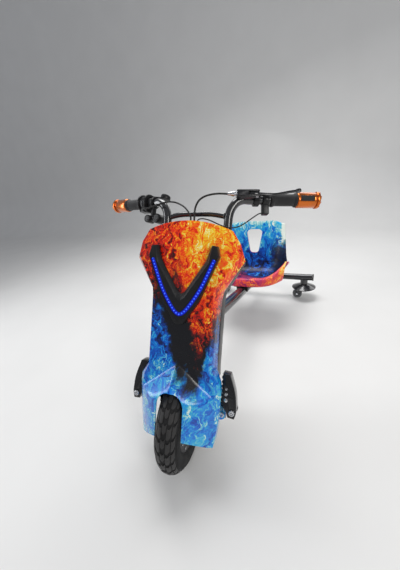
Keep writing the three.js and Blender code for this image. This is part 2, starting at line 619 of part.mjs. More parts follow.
function ledBand(extra) {
  const half = LAMP.ledWidth / 2 + extra;
  const right = LED_LINE_SHARES.map(lampPlace);
  const line = [...right.slice(1).reverse().map(([x, z]) => [-x, z]), ...right];
  const outer = [];
  const inner = [];
  line.forEach(([x, z], i) => {
    const [ax, az] = line[Math.max(0, i - 1)];
    const [bx, bz] = line[Math.min(line.length - 1, i + 1)];
    const run = Math.hypot(bx - ax, bz - az);
    const [nx, nz] = [(bz - az) / run, (ax - bx) / run];
    outer.push([x + nx * half, z + nz * half]);
    inner.push([x - nx * half, z - nz * half]);
  });
  return [...outer, ...inner.reverse()];
}

function buildLamp(parent) {
  const outline = mirrored(LAMP_OUTLINE_SHARES.map(lampPlace));
  const face = -LAMP.base - LAMP.depth;
  const body = uprightPlate(outline, face, LAMP.depth);
  const groove = uprightPlate(ledBand(GAP), face - OVERRUN, LAMP.ledDepth + GAP + OVERRUN);
  const seat = cowlFace(GAP);
  addPart(parent, 'lamp_housing', cut(body, groove, seat), blackPlastic());
  addPart(parent, 'led_strip', uprightPlate(ledBand(0), face, LAMP.ledDepth), finish(0x1840e0, 0.3, 0));
}

// The solid behind the cowl's outside, grown forward by a gap, to seat pieces on the cowl.
function cowlFace(gap) {
  return frontCowlBody(0, 0).translate(0, -gap, 0);
}

// Battery, controller, charge port and power button.

function buildElectrics(parent) {
  const wall = COLUMN.front - GAP;
  const battery = block(-BATTERY.halfWidth, BATTERY.halfWidth, wall - BATTERY.depth, wall,
    BATTERY.bottom, BATTERY.bottom + BATTERY.height);
  addPart(parent, 'battery_case', battery, finish(0x3a6fb0, 0.5, 0));
  const controller = block(-CONTROLLER.halfWidth, CONTROLLER.halfWidth, wall - CONTROLLER.depth, wall,
    CONTROLLER.bottom, CONTROLLER.bottom + CONTROLLER.height);
  addPart(parent, 'controller_case', controller, finish(0x9a9da2, 0.45, 0.8));
}

function buildPort(parent) {
  const back = REAR_COVER.back + GAP;
  const inner = COLUMN.back + GAP;
  const body = join(
    rod(PORT.radius, inner, back + PORT.lip / 2, SIDES.small, 'y'),
    rod(PORT.flange, back, back + PORT.lip, SIDES.small, 'y'),
  );
  const bore = rod(PORT.bore, back + PORT.lip - PORT.boreDepth, back + PORT.lip + OVERRUN, SIDES.small, 'y');
  addPart(parent, 'charge_port', cut(body, bore).translate(0, 0, portHeight), blackPlastic());
}

function buildPower(parent) {
  const face = REAR_COVER.back - COWL.wall - GAP;
  const cap = rod(POWER.cap, face - POWER.flange, REAR_COVER.back + POWER.travel + GAP, SIDES.small, 'y');
  const flange = rod(POWER.radius, face - POWER.flange, face, SIDES.small, 'y');
  const button = join(cap, flange).translate(0, 0, powerHeight);
  addPart(parent, 'power_button', button, finish(0x2060c8, 0.3, 0));
}

// Handlebar: two bent risers that end in the grip tubes, and a crossbar between them.

const sweepAngle = THREE.MathUtils.degToRad(BAR.sweep);
const tiltAngle = THREE.MathUtils.degToRad(BAR.tilt);
const BAR_OUTWARD = new THREE.Vector3(
  Math.cos(tiltAngle) * Math.cos(sweepAngle),
  Math.cos(tiltAngle) * Math.sin(sweepAngle),
  Math.sin(tiltAngle),
);
const kneeHeight = COWL.height + RISER.above;

// Distances from the bar's end to the inboard face of each clamp, and to the end of the straight stretch.
const gripInner = GRIP_END.length + GRIP.length;
const throttleInner = gripInner + GAP + THROTTLE.length;
const podClamp = throttleInner + POD.space + POD.clampLength;
const switchClamp = podClamp + SWITCH.space + SWITCH.clampLength;
const hornClamp = gripInner + HORN.space + HORN.clampLength;
const perchClamp = hornClamp + PERCH.space + PERCH.clampLength;
const straightLength = switchClamp + BAR.spare;

// A point on the bar at a distance from its end. The straight stretch starts where the riser's bend ends.
function barPoint(side, distance) {
  const { halfGap, front, bendOut, bendBack, bendUp } = RISER;
  const bendEnd = new THREE.Vector3(halfGap + bendOut, front + bendBack, kneeHeight + bendUp);
  const point = bendEnd.addScaledVector(BAR_OUTWARD, straightLength - distance);
  return [side * point.x, point.y, point.z];
}

// A group at the end of the bar: +X runs outward along the bar and +Z up, so +Y is rearward on the left bar
// and forward on the right bar. Pieces that face the rider take this sign.
const REARWARD = { left: 1, right: -1 };

function barGroup(parent, side) {
  const group = subgroup(parent);
  const outward = new THREE.Vector3(side * BAR_OUTWARD.x, BAR_OUTWARD.y, BAR_OUTWARD.z);
  const up = new THREE.Vector3(0, 0, 1);
  const across = up.clone().cross(outward).normalize();
  up.copy(outward).cross(across);
  group.quaternion.setFromRotationMatrix(new THREE.Matrix4().makeBasis(outward, across, up));
  group.position.set(...barPoint(side, 0));
  return group;
}

function riserPath(side) {
  const { halfGap, front, bendOut, bendBack, bendUp } = RISER;
  const foot = bridgeTop + GAP;
  const points = [foot, (foot + kneeHeight) / 2, kneeHeight].map((height) => [halfGap, front, height]);
  for (const [x, y, z] of RISER_BEND_SHARES) {
    points.push([halfGap + x * bendOut, front + y * bendBack, kneeHeight + z * bendUp]);
  }
  for (const share of BAR_STRAIGHT_SHARES) points.push(barPoint(1, straightLength * share));
  points.push(barPoint(1, BAR.endInset));
  return points.map(([x, y, z]) => [side * x, y, z]);
}

function buildHandlebar(parent) {
  for (const [side, word] of [[1, 'left'], [-1, 'right']]) {
    const tube = sweep(riserPath(side), BAR.radius, SIDES.small, RISER.steps);
    addPart(parent, `riser_${word}`, tube, blackSteel());
  }
  const half = RISER.halfGap;
  const { above, arch, crest, bow } = CROSSBAR;
  const front = RISER.front;
  const height = kneeHeight + above;
  const path = [[-half, front, height], [-half / 2, front - bow, height + arch],
    [0, front - bow, height + crest], [half / 2, front - bow, height + arch], [half, front, height]];
  const clear = [-1, 1].map((side) => sweep(riserPath(side), BAR.radius + GAP, SIDES.small, RISER.steps));
  const bar = cut(sweep(path, CROSSBAR.radius, SIDES.small, CROSSBAR.steps), ...clear);
  const between = block(-half, half, -COWL.reach, COWL.reach, 0, 2 * COWL.height);
  addPart(parent, 'crossbar', common(bar, between), blackSteel());
}

// Grips: an anodised end sleeve with a notched ring, and a rubber grip inboard of it.

const barBore = (BAR.radius + BORE_GAP) / Math.cos(Math.PI / SIDES.small);

function gripEnd() {
  const { length, radius, ringRadius, ringLength, groove, window, windowHeight } = GRIP_END;
  const profile = [
    [0, 0], [ringRadius, 0], [ringRadius, -ringLength], [radius - groove, -ringLength],
    [radius - groove, -ringLength - groove], [radius, -ringLength - groove], [radius, groove - length],
    [radius - groove, -length], [barBore, -length], [barBore, -groove], [0, -groove],
  ];
  const sleeve = turned(profile.reverse(), SIDES.tube, 'x');
  const middle = -(ringLength + groove + length) / 2;
  const recess = block(middle - window / 2, middle + window / 2, -radius - OVERRUN, groove - radius,
    -windowHeight / 2, windowHeight / 2);
  return cut(sleeve, recess);
}

function gripRubber(start) {
  const { radius, flangeRadius, flangeLength, taper, endRadius, length } = GRIP;
  const end = start - length + 2 * GAP;
  const profile = [
    [barBore, start], [barBore, end], [flangeRadius, end], [flangeRadius, end + flangeLength],
    [radius, end + flangeLength + taper], [endRadius, start - flangeLength], [endRadius, start],
    [barBore, start],
  ];
  return turned(profile, SIDES.tube, 'x');
}

function buildGrips(leftBar, rightBar) {
  const start = -GRIP_END.length - GAP;
  addPart(leftBar, 'grip_end_left', gripEnd(), orangeMetal());
  addPart(leftBar, 'grip_left', gripRubber(start), rubber());
  addPart(rightBar, 'grip_end_right', gripEnd(), orangeMetal());
  addPart(rightBar, 'throttle_grip', gripRubber(start), rubber());
}

function clampRing(innerDistance, length, radius) {
  return pipe(radius, barBore, -innerDistance, length - innerDistance, SIDES.tube, 'x');
}

function buildThrottle(bar) {
  const { length, ringRadius, ringLength, bodyRadius, footDrop, footWidth } = THROTTLE;
  const outer = gripInner + GAP;
  const inner = throttleInner;
  const first = clampRing(outer + ringLength, ringLength, ringRadius);
  const second = clampRing(inner, ringLength, ringRadius);
  const body = clampRing(inner, length, bodyRadius);
  const foot = block(-inner, -outer, -footWidth / 2, footWidth / 2, -footDrop, -barBore - BORE_GAP);
  addPart(bar, 'throttle_housing', join(first, second, body, foot), blackPlastic());
}

// Brake perch, lever and cable adjuster on the left bar, in a plane tilted up from straight ahead.

const pivotDistance = perchClamp - PERCH.pivotOut;
const perchInner = perchClamp + PERCH.bodyIn;

function brakePlane(bar) {
  const plane = subgroup(bar);
  plane.rotation.x = -THREE.MathUtils.degToRad(PERCH.tilt);
  return plane;
}

function buildBrakeControls(plane) {
  const { clampLength, bodyOut, bodyNear, bodyFar, bodyHalf, slotHalf, pivotReach } = PERCH;
  const ring = clampRing(perchClamp, clampLength, PERCH.clampRadius);
  const neckOuter = clampLength - perchClamp;
  const neck = block(-perchClamp, neckOuter, -bodyNear - bodyHalf / 2, -barBore - BORE_GAP, -bodyHalf,
    bodyHalf);
  const body = block(-perchInner, bodyOut - perchClamp, -bodyFar, -bodyNear, -bodyHalf, bodyHalf);
  const slot = block(-pivotDistance - LEVER.tailReach - LEVER.pinRadius, neckOuter + OVERRUN,
    -bodyFar - OVERRUN, -bodyNear - LEVER.pinRadius / 2, -slotHalf, slotHalf);
  const pin = rod(LEVER.pinRadius, -bodyHalf, bodyHalf, SIDES.small, 'z')
    .translate(-pivotDistance, -pivotReach, 0);
  addPart(plane, 'brake_perch', join(cut(join(body, neck), slot), ring, pin), blackPlastic());
  addPart(plane, 'brake_lever', leverBlade(), blackSteel());
  const start = perchInner + GAP;
  const barrel = rod(BARREL.radius, start, start + BARREL.length, SIDES.small, 'x', BARREL.tipRadius);
  addPart(plane, 'barrel_adjuster', barrel.rotateZ(Math.PI).translate(0, -BARREL.reach, 0), brightSteel());
}

function leverBlade() {
  const { length, thickness, width, dip, tipRise, tailReach, pinRadius, ball } = LEVER;
  const { pivotReach } = PERCH;
  const bend = (share) => pivotReach + share * (share < 0 ? dip : tipRise);
  const centre = LEVER_LINE_SHARES.map(([along, share]) => [along * length - pivotDistance, -bend(share)]);
  const upper = centre.map(([x, y]) => [x, y - width / 2]);
  const lower = centre.map(([x, y]) => [x, y + width / 2]).reverse();
  const blade = plate([...upper, ...lower].reverse(), thickness).translate(0, 0, -thickness / 2);
  const [tipX, tipY] = centre[centre.length - 1];
  const knob = rod(ball, -thickness / 2, thickness / 2, SIDES.small, 'z').translate(tipX, tipY, 0);
  const eye = rod(width / 2 + pinRadius, -thickness / 2, thickness / 2, SIDES.small, 'z')
    .translate(-pivotDistance, -pivotReach, 0);
  const hole = rod(roundCorner(pinRadius + GAP, true, SIDES.small), -thickness, thickness, SIDES.small, 'z')
    .translate(-pivotDistance, -pivotReach, 0);
  const tail = block(-pivotDistance - tailReach, -pivotDistance, -pivotReach - width / 2,
    width / 3 - pivotReach, -thickness / 2, thickness / 2);
  return cut(join(blade, knob, eye, tail), hole);
}

// Horn switch on the left bar, switch box and display on the right bar.

function pushButton(bar, name, place, rearward, color) {
  const start = GAP + BUTTON.travel - BUTTON.seat;
  const face = rod(BUTTON.radius, start, start + BUTTON.cap, SIDES.small, 'y');
  if (rearward < 0) face.rotateZ(Math.PI);
  const [x, y, z] = place;
  addPart(bar, name, face.translate(x, y * rearward, z), finish(color, 0.35, 0));
}

// The blind hole that a button slides in, opening on the face at y.
function buttonWell(place, rearward) {
  const [x, y, z] = place;
  const radius = roundCorner(BUTTON.radius + GAP, true, SIDES.small);
  const well = rod(radius, -BUTTON.seat, OVERRUN, SIDES.small, 'y');
  if (rearward < 0) well.rotateZ(Math.PI);
  return well.translate(x, y * rearward, z);
}

function buildHorn(bar) {
  const { clampLength, clampRadius, drop, width, depth } = HORN;
  const ring = clampRing(hornClamp, clampLength, clampRadius);
  const middle = clampLength / 2 - hornClamp;
  const top = -barBore - BORE_GAP;
  const box = block(middle - width / 2, middle + width / 2, -depth / 2, depth / 2, -drop, top);
  const place = [middle, depth / 2, -(drop + clampRadius) / 2];
  addPart(bar, 'horn_switch', cut(join(ring, box), buttonWell(place, REARWARD.left)), blackPlastic());
  pushButton(bar, 'horn_button', place, REARWARD.left, 0xb02018);
}

// Two round switches side by side under the bar, joined by a web that hangs from one clamp.
function buildSwitchBox(bar) {
  const { clampLength, clampRadius, outerRadius, innerRadius, depth, drop, web } = SWITCH;
  const outerKnob = switchClamp - SWITCH.knobOut;
  const innerKnob = switchClamp + SWITCH.knobIn;
  const ring = clampRing(switchClamp, clampLength, clampRadius);
  const half = depth / 2;
  const outer = rod(outerRadius, -half, half, SIDES.small, 'y').translate(-outerKnob, 0, -drop);
  const inner = rod(innerRadius, -half, half, SIDES.tube, 'y').translate(-innerKnob, 0, -drop);
  const bridge = block(-innerKnob, -outerKnob, -half / 2, half / 2, -drop - web / 2, web / 2 - drop);
  const post = block(-switchClamp, clampLength - switchClamp, -half / 2, half / 2, -drop, -barBore - BORE_GAP);
  const place = [-innerKnob, half, -drop];
  const body = cut(join(ring, post, bridge, outer, inner), buttonWell(place, REARWARD.right));
  addPart(bar, 'switch_box', body, blackPlastic());
  pushButton(bar, 'speed_button', place, REARWARD.right, 0x20a040);
}

function buildPod(bar) {
  const { clampLength, clampRadius, radius, depth, back, rise, tilt } = POD;
  const { armBottom, armThickness, armWidth } = POD;
  const centre = podClamp + POD.reach;
  const outboard = clampLength - podClamp;
  const ring = clampRing(podClamp, clampLength, clampRadius);
  const y = REARWARD.right * back;
  const disc = rod(radius, -depth / 2, depth / 2, SIDES.tube, 'z')
    .rotateX(-THREE.MathUtils.degToRad(tilt) * REARWARD.right).translate(-centre, y, rise);
  const half = clampLength / 2;
  const armTop = armBottom + armThickness;
  const post = block(-podClamp, outboard, -half, half, barBore + BORE_GAP, armTop);
  const outline = [[outboard, -half], [outboard, half], [-centre, y + armWidth / 2],
    [-centre, y - armWidth / 2]];
  const arm = plate(orderOutline(outline), armThickness).translate(0, 0, armBottom);
  addPart(bar, 'display_pod', join(ring, disc, post, arm), blackPlastic());
}

// Cables held by the bar and the cowl. Each route's points are a share of the way between its two ends, and
// then shares of the distance between the ends, by which the point stands off to the left, back and up.
const BRAKE_ROUTE_SHARES = [
  [0.079, -0.0407, -0.0262, 0.0492], [0.155, -0.0811, -0.0408, 0.0978], [0.292, -0.142, -0.0521, 0.1684],
  [0.45, -0.187, -0.0585, 0.2224], [0.595, -0.1968, -0.0606, 0.2327], [0.737, -0.1647, -0.0482, 0.1959],
  [0.836, -0.1192, -0.0283, 0.1409], [0.919, -0.0613, -0.0092, 0.0726],
];
const THROTTLE_ROUTE_SHARES = [
  [0.006, -0.0145, -0.0396, -0.004], [0.048, -0.0262, -0.0829, 0.0014], [0.116, -0.0271, -0.0962, 0.0164],
  [0.192, -0.0186, -0.0931, 0.039], [0.268, -0.0101, -0.0899, 0.0673], [0.342, 0.0002, -0.0874, 0.1006],
  [0.433, 0.0173, -0.0742, 0.1468], [0.523, 0.0353, -0.0557, 0.1871], [0.641, 0.0444, -0.0401, 0.2012],
  [0.744, 0.0449, -0.0261, 0.189], [0.835, 0.0396, -0.0213, 0.1625], [0.922, 0.0269, -0.0177, 0.1126],
  [0.978, 0.0146, -0.0066, 0.0602],
];
const WIRE_ROUTE_SHARES = [
  [0.003, -0.0027, -0.0011, 0.014], [0.02, -0.0027, -0.0076, 0.025], [0.066, 0.0016, -0.019, 0.0274],
  [0.14, 0.0082, -0.0227, 0.0055], [0.206, 0.016, -0.0234, -0.0269], [0.277, 0.0314, -0.0321, -0.0756],
  [0.348, 0.0468, -0.0438, -0.1213], [0.408, 0.0599, -0.0575, -0.1524], [0.471, 0.0642, -0.057, -0.1689],
  [0.574, 0.057, -0.0412, -0.1665], [0.704, 0.0254, 0.007, -0.1211], [0.808, 0.005, 0.0284, -0.07],
  [0.895, -0.0001, 0.0167, -0.0276], [0.951, -0.0017, 0.0058, -0.0042], [0.978, -0.0016, 0.0023, 0.001],
];

// A place inside nested groups, in the frame that holds the outermost of them.
function placeIn(place, ...groups) {
  const point = new THREE.Vector3(...place);
  for (const group of groups) {
    group.updateMatrix();
    point.applyMatrix4(group.matrix);
  }
  return point;
}

function routeBetween(start, end, shares) {
  const span = start.distanceTo(end);
  const between = shares.map(([along, left, back, up]) => start.clone().lerp(end, along)
    .add(new THREE.Vector3(left, back, up).multiplyScalar(span)));
  return [start, ...between, end].map((point) => point.toArray());
}

function glandTop(offset) {
  const height = COWL_ROWS[0].middle[0] + GAP + GLAND.height + GAP;
  return new THREE.Vector3(GLAND.x + offset, GLAND.front, height);
}

function buildCables(parent, plane, leftBar, rightBar) {
  const cord = (name, route, radius, steps) =>
    addPart(parent, name, sweep(route, radius, SIDES.cord, steps), cordSkin());
  const barrelEnd = -perchInner - GAP - BARREL.length - GAP;
  const lever = placeIn([barrelEnd, -BARREL.reach, 0], plane, leftBar);
  cord('brake_cable', routeBetween(lever, glandTop(0), BRAKE_ROUTE_SHARES), CABLE.brake, CABLE.brakeSteps);
  const footFront = THROTTLE.footWidth / 2 + 2 * GAP;
  const twist = placeIn([THROTTLE.cableInset - throttleInner, footFront, -THROTTLE.cableDrop], rightBar);
  const throttleRoute = routeBetween(twist, glandTop(-GLAND.pitch), THROTTLE_ROUTE_SHARES);
  cord('throttle_cable', throttleRoute, CABLE.throttle, CABLE.throttleSteps);
  const hornInner = -hornClamp - (HORN.width - HORN.clampLength) / 2 - 2 * GAP;
  const horn = placeIn([hornInner, 0, -HORN.wireDrop], leftBar);
  const wireRoute = routeBetween(glandTop(GLAND.pitch), horn, WIRE_ROUTE_SHARES);
  cord('switch_wire', wireRoute, CABLE.wire, CABLE.wireSteps);
}

function buildGland(parent) {
  const roof = COWL_ROWS[0].middle[0] + GAP;
  const foot = block(GLAND.x - GLAND.halfLength, GLAND.x + GLAND.halfLength, -GLAND.radius, GLAND.radius,
    roof - OVERRUN, roof + GLAND.height);
  const body = cut(foot.translate(0, GLAND.front, 0), frontCowlBody(0, 0).translate(0, 0, GAP));
  addPart(parent, 'cable_gland', body, rubber());
}

// Foot pegs: a bracket bolted to the fork leg, and a toothed peg folded up about a fore and aft bolt.

const pegBack = PEG.front + PEG.thickness;
const bracketFront = pegBack + GAP;

function pegOutline() {
  const { hingeX, hingeZ, length, innerReach, toothDepth, toothedLength, teeth } = PEG;
  const inner = hingeX - innerReach;
  const outline = PEG_EDGE_SHARES.map(([x, z]) => [hingeX + x * length, hingeZ + z * length]);
  const pitch = toothedLength / teeth;
  const start = hingeZ + length - toothDepth - toothedLength;
  outline.push([inner + toothDepth, start]);
  for (let i = 0; i < teeth; i += 1) {
    outline.push([inner, start + (i + TOOTH_SHARES.start) * pitch]);
    outline.push([inner, start + (i + TOOTH_SHARES.end) * pitch]);
    outline.push([inner + toothDepth, start + (i + TOOTH_SHARES.root) * pitch]);
  }
  return orderOutline(outline);
}

function pegBody() {
  const { hingeX, hingeZ, length, holeX } = PEG;
  const body = uprightPlate(pegOutline(), PEG.front, PEG.thickness);
  const ends = [PEG.front - OVERRUN, pegBack + OVERRUN];
  const holes = PEG_HOLE_SHARES.map(([height, radius]) => rod(radius * length, ...ends, SIDES.small, 'y')
    .translate(holeX, 0, hingeZ + height * length));
  const bore = rod(roundCorner(PEG.boltRadius + GAP, true, SIDES.small), ...ends, SIDES.small, 'y')
    .translate(hingeX, 0, hingeZ);
  return cut(body, ...holes, bore);
}

function bracketBody() {
  const { thickness, height, bottom, eyeRadius, lugBottom } = BRACKET;
  const back = bracketFront + thickness;
  const lugFront = GAP - lowSeam;
  const arm = block(legOuter + GAP, PEG.hingeX, bracketFront, back, bottom, bottom + height);
  const eye = rod(eyeRadius, bracketFront, back, SIDES.tube, 'y').translate(PEG.hingeX, 0, PEG.hingeZ);
  const foot = block(legOuter + GAP, legOuter + GAP + thickness, legFront, back, bottom, bottom + height);
  const ends = [bracketFront - OVERRUN, back + OVERRUN];
  const bore = rod(roundCorner(PEG.boltRadius + GAP, true, SIDES.small), ...ends, SIDES.small, 'y')
    .translate(PEG.hingeX, 0, PEG.hingeZ);
  const lug = block(TAB.inner, TAB.outer, lugFront, back, lugBottom, bottom + thickness);
  const tabBore = rod(roundCorner(TAB.boltRadius + GAP, true, SIDES.small), lugFront - OVERRUN, back + OVERRUN,
    SIDES.small, 'y').translate(TAB.holeX, 0, TAB.holeZ);
  return cut(join(arm, eye, foot, lug), bore, tabBore);
}

function pegBolt() {
  const back = bracketFront + BRACKET.thickness;
  const headFront = PEG.front - GAP - PEG.headHeight;
  const nutBack = back + GAP + PEG.headHeight;
  const shaft = rod(PEG.boltRadius, headFront, nutBack, SIDES.small, 'y');
  const head = rod(PEG.headRadius, headFront, PEG.front - GAP, SIDES.small, 'y');
  const nut = rod(PEG.headRadius, back + GAP, nutBack, SIDES.bolt, 'y');
  return join(shaft, head, nut).translate(PEG.hingeX, 0, PEG.hingeZ);
}

function mirrorX(geometry) {
  const copy = geometry.clone().scale(-1, 1, 1);
  const flipped = copy.index ? copy : mergeVertices(copy);
  const corners = flipped.index.array;
  for (let i = 0; i < corners.length; i += 3) {
    [corners[i], corners[i + 1]] = [corners[i + 1], corners[i]];
  }
  flipped.computeVertexNormals();
  return flipped;
}

function buildPegs(parent) {
  const both = [['left', (g) => g], ['right', mirrorX]];
  for (const [word, turn] of both) {
    addPart(parent, `peg_bracket_${word}`, turn(bracketBody()), blackSteel());
    addPart(parent, `peg_${word}`, turn(pegBody()), finish(0x18181a, 0.3, 0.7));
    addPart(parent, `peg_bolt_${word}`, turn(pegBolt()), brightSteel());
  }
}

// Rear frame: head tube, main tube, telescoping rear tube and the cross beam.

function headTubeSpan() {
  const low = crownTop + GAP + HEAD_TUBE.bearing + GAP;
  const high = COLUMN.lugHeight - GAP - HEAD_TUBE.bearing - GAP;
  return [low, high];
}

function buildHead(parent) {
  const [low, high] = headTubeSpan();
  const tube = pipe(HEAD_TUBE.radius, HEAD_TUBE.radius - HEAD_TUBE.wall, low, high, SIDES.tube, 'z');
  addPart(parent, 'head_tube', tube, blackSteel());
  const bore = roundCorner(KINGPIN.radius + BORE_GAP, true, SIDES.small);
  const lower = pipe(HEAD_TUBE.radius, bore, low - GAP - HEAD_TUBE.bearing, low - GAP, SIDES.tube, 'z');
  const upper = pipe(HEAD_TUBE.radius, bore, high + GAP, high + GAP + HEAD_TUBE.bearing, SIDES.tube, 'z');
  addPart(parent, 'bearing_lower', lower, brightSteel());
  addPart(parent, 'bearing_upper', upper, brightSteel());
}

// A group whose +Z runs from one point to another, for tubes between two places.
function alongGroup(parent, from, to) {
  const group = subgroup(parent);
  const along = new THREE.Vector3().subVectors(to, from).normalize();
  const side = new THREE.Vector3(1, 0, 0);
  const up = along.clone().cross(side);
  group.quaternion.setFromRotationMatrix(new THREE.Matrix4().makeBasis(side, up, along));
  group.position.copy(from);
  return group;
}

function buildTubes(parent, headPoint, headAxis) {
  const beamPoint = new THREE.Vector3(0, CASTER_AXIS_BACK, BEAM.height);
  const span = headPoint.distanceTo(beamPoint);
  const group = alongGroup(parent, headPoint, beamPoint);
  const along = beamPoint.clone().sub(headPoint).normalize();
  const tilt = Math.acos(along.dot(headAxis));
  const joint = MAIN_TUBE.joint;
  const inner = MAIN_TUBE.radius - MAIN_TUBE.wall;
  const start = HEAD_TUBE.radius / 2;
  const outside = rod(MAIN_TUBE.radius, start, joint, SIDES.tube, 'z');
  const bore = rod(inner, HEAD_TUBE.radius + MAIN_TUBE.gusset, joint + OVERRUN, SIDES.tube, 'z');
  const headClear = rod(HEAD_TUBE.radius + GAP, -span, span, SIDES.tube, 'z').rotateX(tilt);
  const gusset = gussetPlate(start, tilt);
  const weldment = join(cut(outside, bore), gusset);
  addPart(group, 'main_tube', cut(weldment, headClear, lengthBoltHole(joint)), blackSteel());

  const fit = roundCorner(BORE_GAP, true, SIDES.tube);
  const slim = inner * Math.cos(Math.PI / SIDES.tube) - fit;
  const rear = pipe(slim, slim - REAR_TUBE.wall, joint - REAR_TUBE.overlap, span, SIDES.tube, 'z');
  const beamClear = rod(roundCorner(BEAM.radius + GAP, true, SIDES.tube), -BEAM.halfLength, BEAM.halfLength,
    SIDES.tube, 'x').translate(0, 0, span);
  addPart(group, 'rear_tube', cut(rear, beamClear, lengthBoltHole(joint)), blackSteel());
  addPart(group, 'length_bolt', lengthBolt(joint), brightSteel());
  return { group, slim };
}

function gussetPlate(start, tilt) {
  const { gussetDepth, gussetLength, gusset, radius } = MAIN_TUBE;
  const foot = start / Math.tan(tilt);
  const outline = [[start, -radius / 2], [gussetLength, -radius / 2], [start - foot, -radius - gussetDepth]];
  return plate(outline, gusset).translate(0, 0, -gusset / 2).rotateY(-Math.PI / 2);
}

function lengthBoltHole(joint) {
  const radius = roundCorner(LENGTH_BOLT.radius + GAP, true, SIDES.small);
  const reach = MAIN_TUBE.radius + OVERRUN;
  return rod(radius, -reach, reach, SIDES.small, 'x').translate(0, 0, joint - LENGTH_BOLT.inset);
}

function lengthBolt(joint) {
  const { radius, headRadius, head } = LENGTH_BOLT;
  const reach = MAIN_TUBE.radius + GAP;
  const bolt = join(
    rod(radius, -reach - head, reach + head, SIDES.small, 'x'),
    rod(headRadius, reach, reach + head, SIDES.bolt, 'x'),
    rod(headRadius, -reach - head, -reach, SIDES.bolt, 'x'),
  );
  return bolt.translate(0, 0, joint - LENGTH_BOLT.inset);
}

function buildBeam(parent) {
  const { radius, wall, halfLength, height, capRadius, capLength, plug } = BEAM;
  const group = subgroup(parent);
  group.position.set(0, CASTER_AXIS_BACK, height);
  const inner = radius - wall;
  const hollow = rod(inner, -halfLength - OVERRUN, halfLength + OVERRUN, SIDES.tube, 'x');
  const solid = rod(radius, -halfLength, halfLength, SIDES.tube, 'x');
  const tube = cut(join(solid, ...casterHousings()), hollow, ...casterBores());
  addPart(group, 'axle_beam', tube, blackSteel());
  const core = inner * Math.cos(Math.PI / SIDES.tube) - GAP;
  const cap = join(
    rod(capRadius, halfLength + GAP, halfLength + GAP + capLength, SIDES.tube, 'x'),
    rod(core, halfLength - plug, halfLength + capLength, SIDES.tube, 'x'),
  );
  addPart(group, 'beam_cap_left', cap, blackPlastic());
  addPart(group, 'beam_cap_right', mirrorX(cap), blackPlastic());
}

// Casters: a housing under the beam, a domed swivel with a fork, and a small wheel trailing inboard.

function casterHousings() {
  const { radius, bottom } = HOUSING;
  return [-1, 1].map((side) => rod(radius, bottom - BEAM.height, 0, SIDES.tube, 'z')
    .translate(side * CASTER_HALF_TRACK, 0, 0));
}

function casterBores() {
  const { bottom, bore, boreDepth } = HOUSING;
  const low = bottom - BEAM.height;
  return [-1, 1].map((side) => rod(roundCorner(bore, true, SIDES.small), low - OVERRUN, low + boreDepth,
    SIDES.small, 'z').translate(side * CASTER_HALF_TRACK, 0, 0));
}

function casterDish() {
  const { radius, rim, rimThickness, top, topRadius, bottom, bottomRadius } = DISH;
  const stem = HOUSING.bore - BORE_GAP;
  const reach = HOUSING.bottom + HOUSING.boreDepth - GAP;
  const profile = [
    [0, bottom], [bottomRadius, bottom], [radius, rim - rimThickness / 2], [radius, rim + rimThickness / 2],
    [topRadius, top], [stem, top], [stem, reach], [0, reach],
  ];
  return turned(profile, SIDES.dish, 'z');
}

function casterFork(side) {
  const { wheelRadius, wheelWidth, trail, plate: sheet, plateWidth, pin } = CASTER;
  const near = wheelWidth / 2 + CASTER.gap;
  const offset = -side * trail;
  const half = plateWidth / 2;
  const { foot: footShare, footSpread, crownOut, crownIn, crownSpread } = CHEEK_SHARES;
  const foot = wheelRadius - half * footShare;
  const crownHeight = DISH.bottom - GAP;
  const inboard = [[trail - half * footSpread, foot], [trail + half * footSpread, foot],
    [trail * crownOut + half * crownSpread, crownHeight], [trail * crownIn - half, crownHeight]];
  const outline = orderOutline(inboard.map(([x, z]) => [-side * x, z]));
  const cheeks = [near, -near - sheet].map((y) => uprightPlate(outline, y, sheet));
  const axleHalf = near + sheet + pin / 2;
  const axle = rod(pin, -axleHalf, axleHalf, SIDES.small, 'y').translate(offset, 0, wheelRadius);
  const crossPlate = block(Math.min(offset, 0) - half, Math.max(offset, 0) + half, -near - sheet,
    near + sheet, DISH.bottom - GAP - sheet / 2, DISH.bottom + sheet / 2);
  return { cheeks, axle, crossPlate };
}

function orderOutline(outline) {
  const area = outline.reduce((sum, [x, z], i) => {
    const [nextX, nextZ] = outline[(i + 1) % outline.length];
    return sum + x * nextZ - nextX * z;
  }, 0);
  return area > 0 ? outline : outline.reverse();
}

function buildCaster(parent, side, word) {
  const group = subgroup(parent);
  group.position.set(side * CASTER_HALF_TRACK, CASTER_AXIS_BACK, 0);
  const { cheeks, axle, crossPlate } = casterFork(side);
  addPart(group, `caster_swivel_${word}`, join(casterDish(), crossPlate, ...cheeks, axle), blackPlastic());
  const { wheelRadius, wheelWidth, trail, pin, crown } = CASTER;
  const half = wheelWidth / 2;
  const bore = roundCorner(pin + GAP, true, SIDES.small);
  const profile = [[bore, -half], [wheelRadius - crown, -half], [wheelRadius, crown - half],
    [wheelRadius, half - crown], [wheelRadius - crown, half], [bore, half], [bore, -half]];
  const wheel = turned(profile, SIDES.dish, 'y').translate(-side * trail, 0, wheelRadius);
  addPart(group, `caster_wheel_${word}`, wheel, finish(0x55585c, 0.6, 0));
}

// Bucket seat: a thin shell lofted through the stations, with a window in the back, on two saddles.

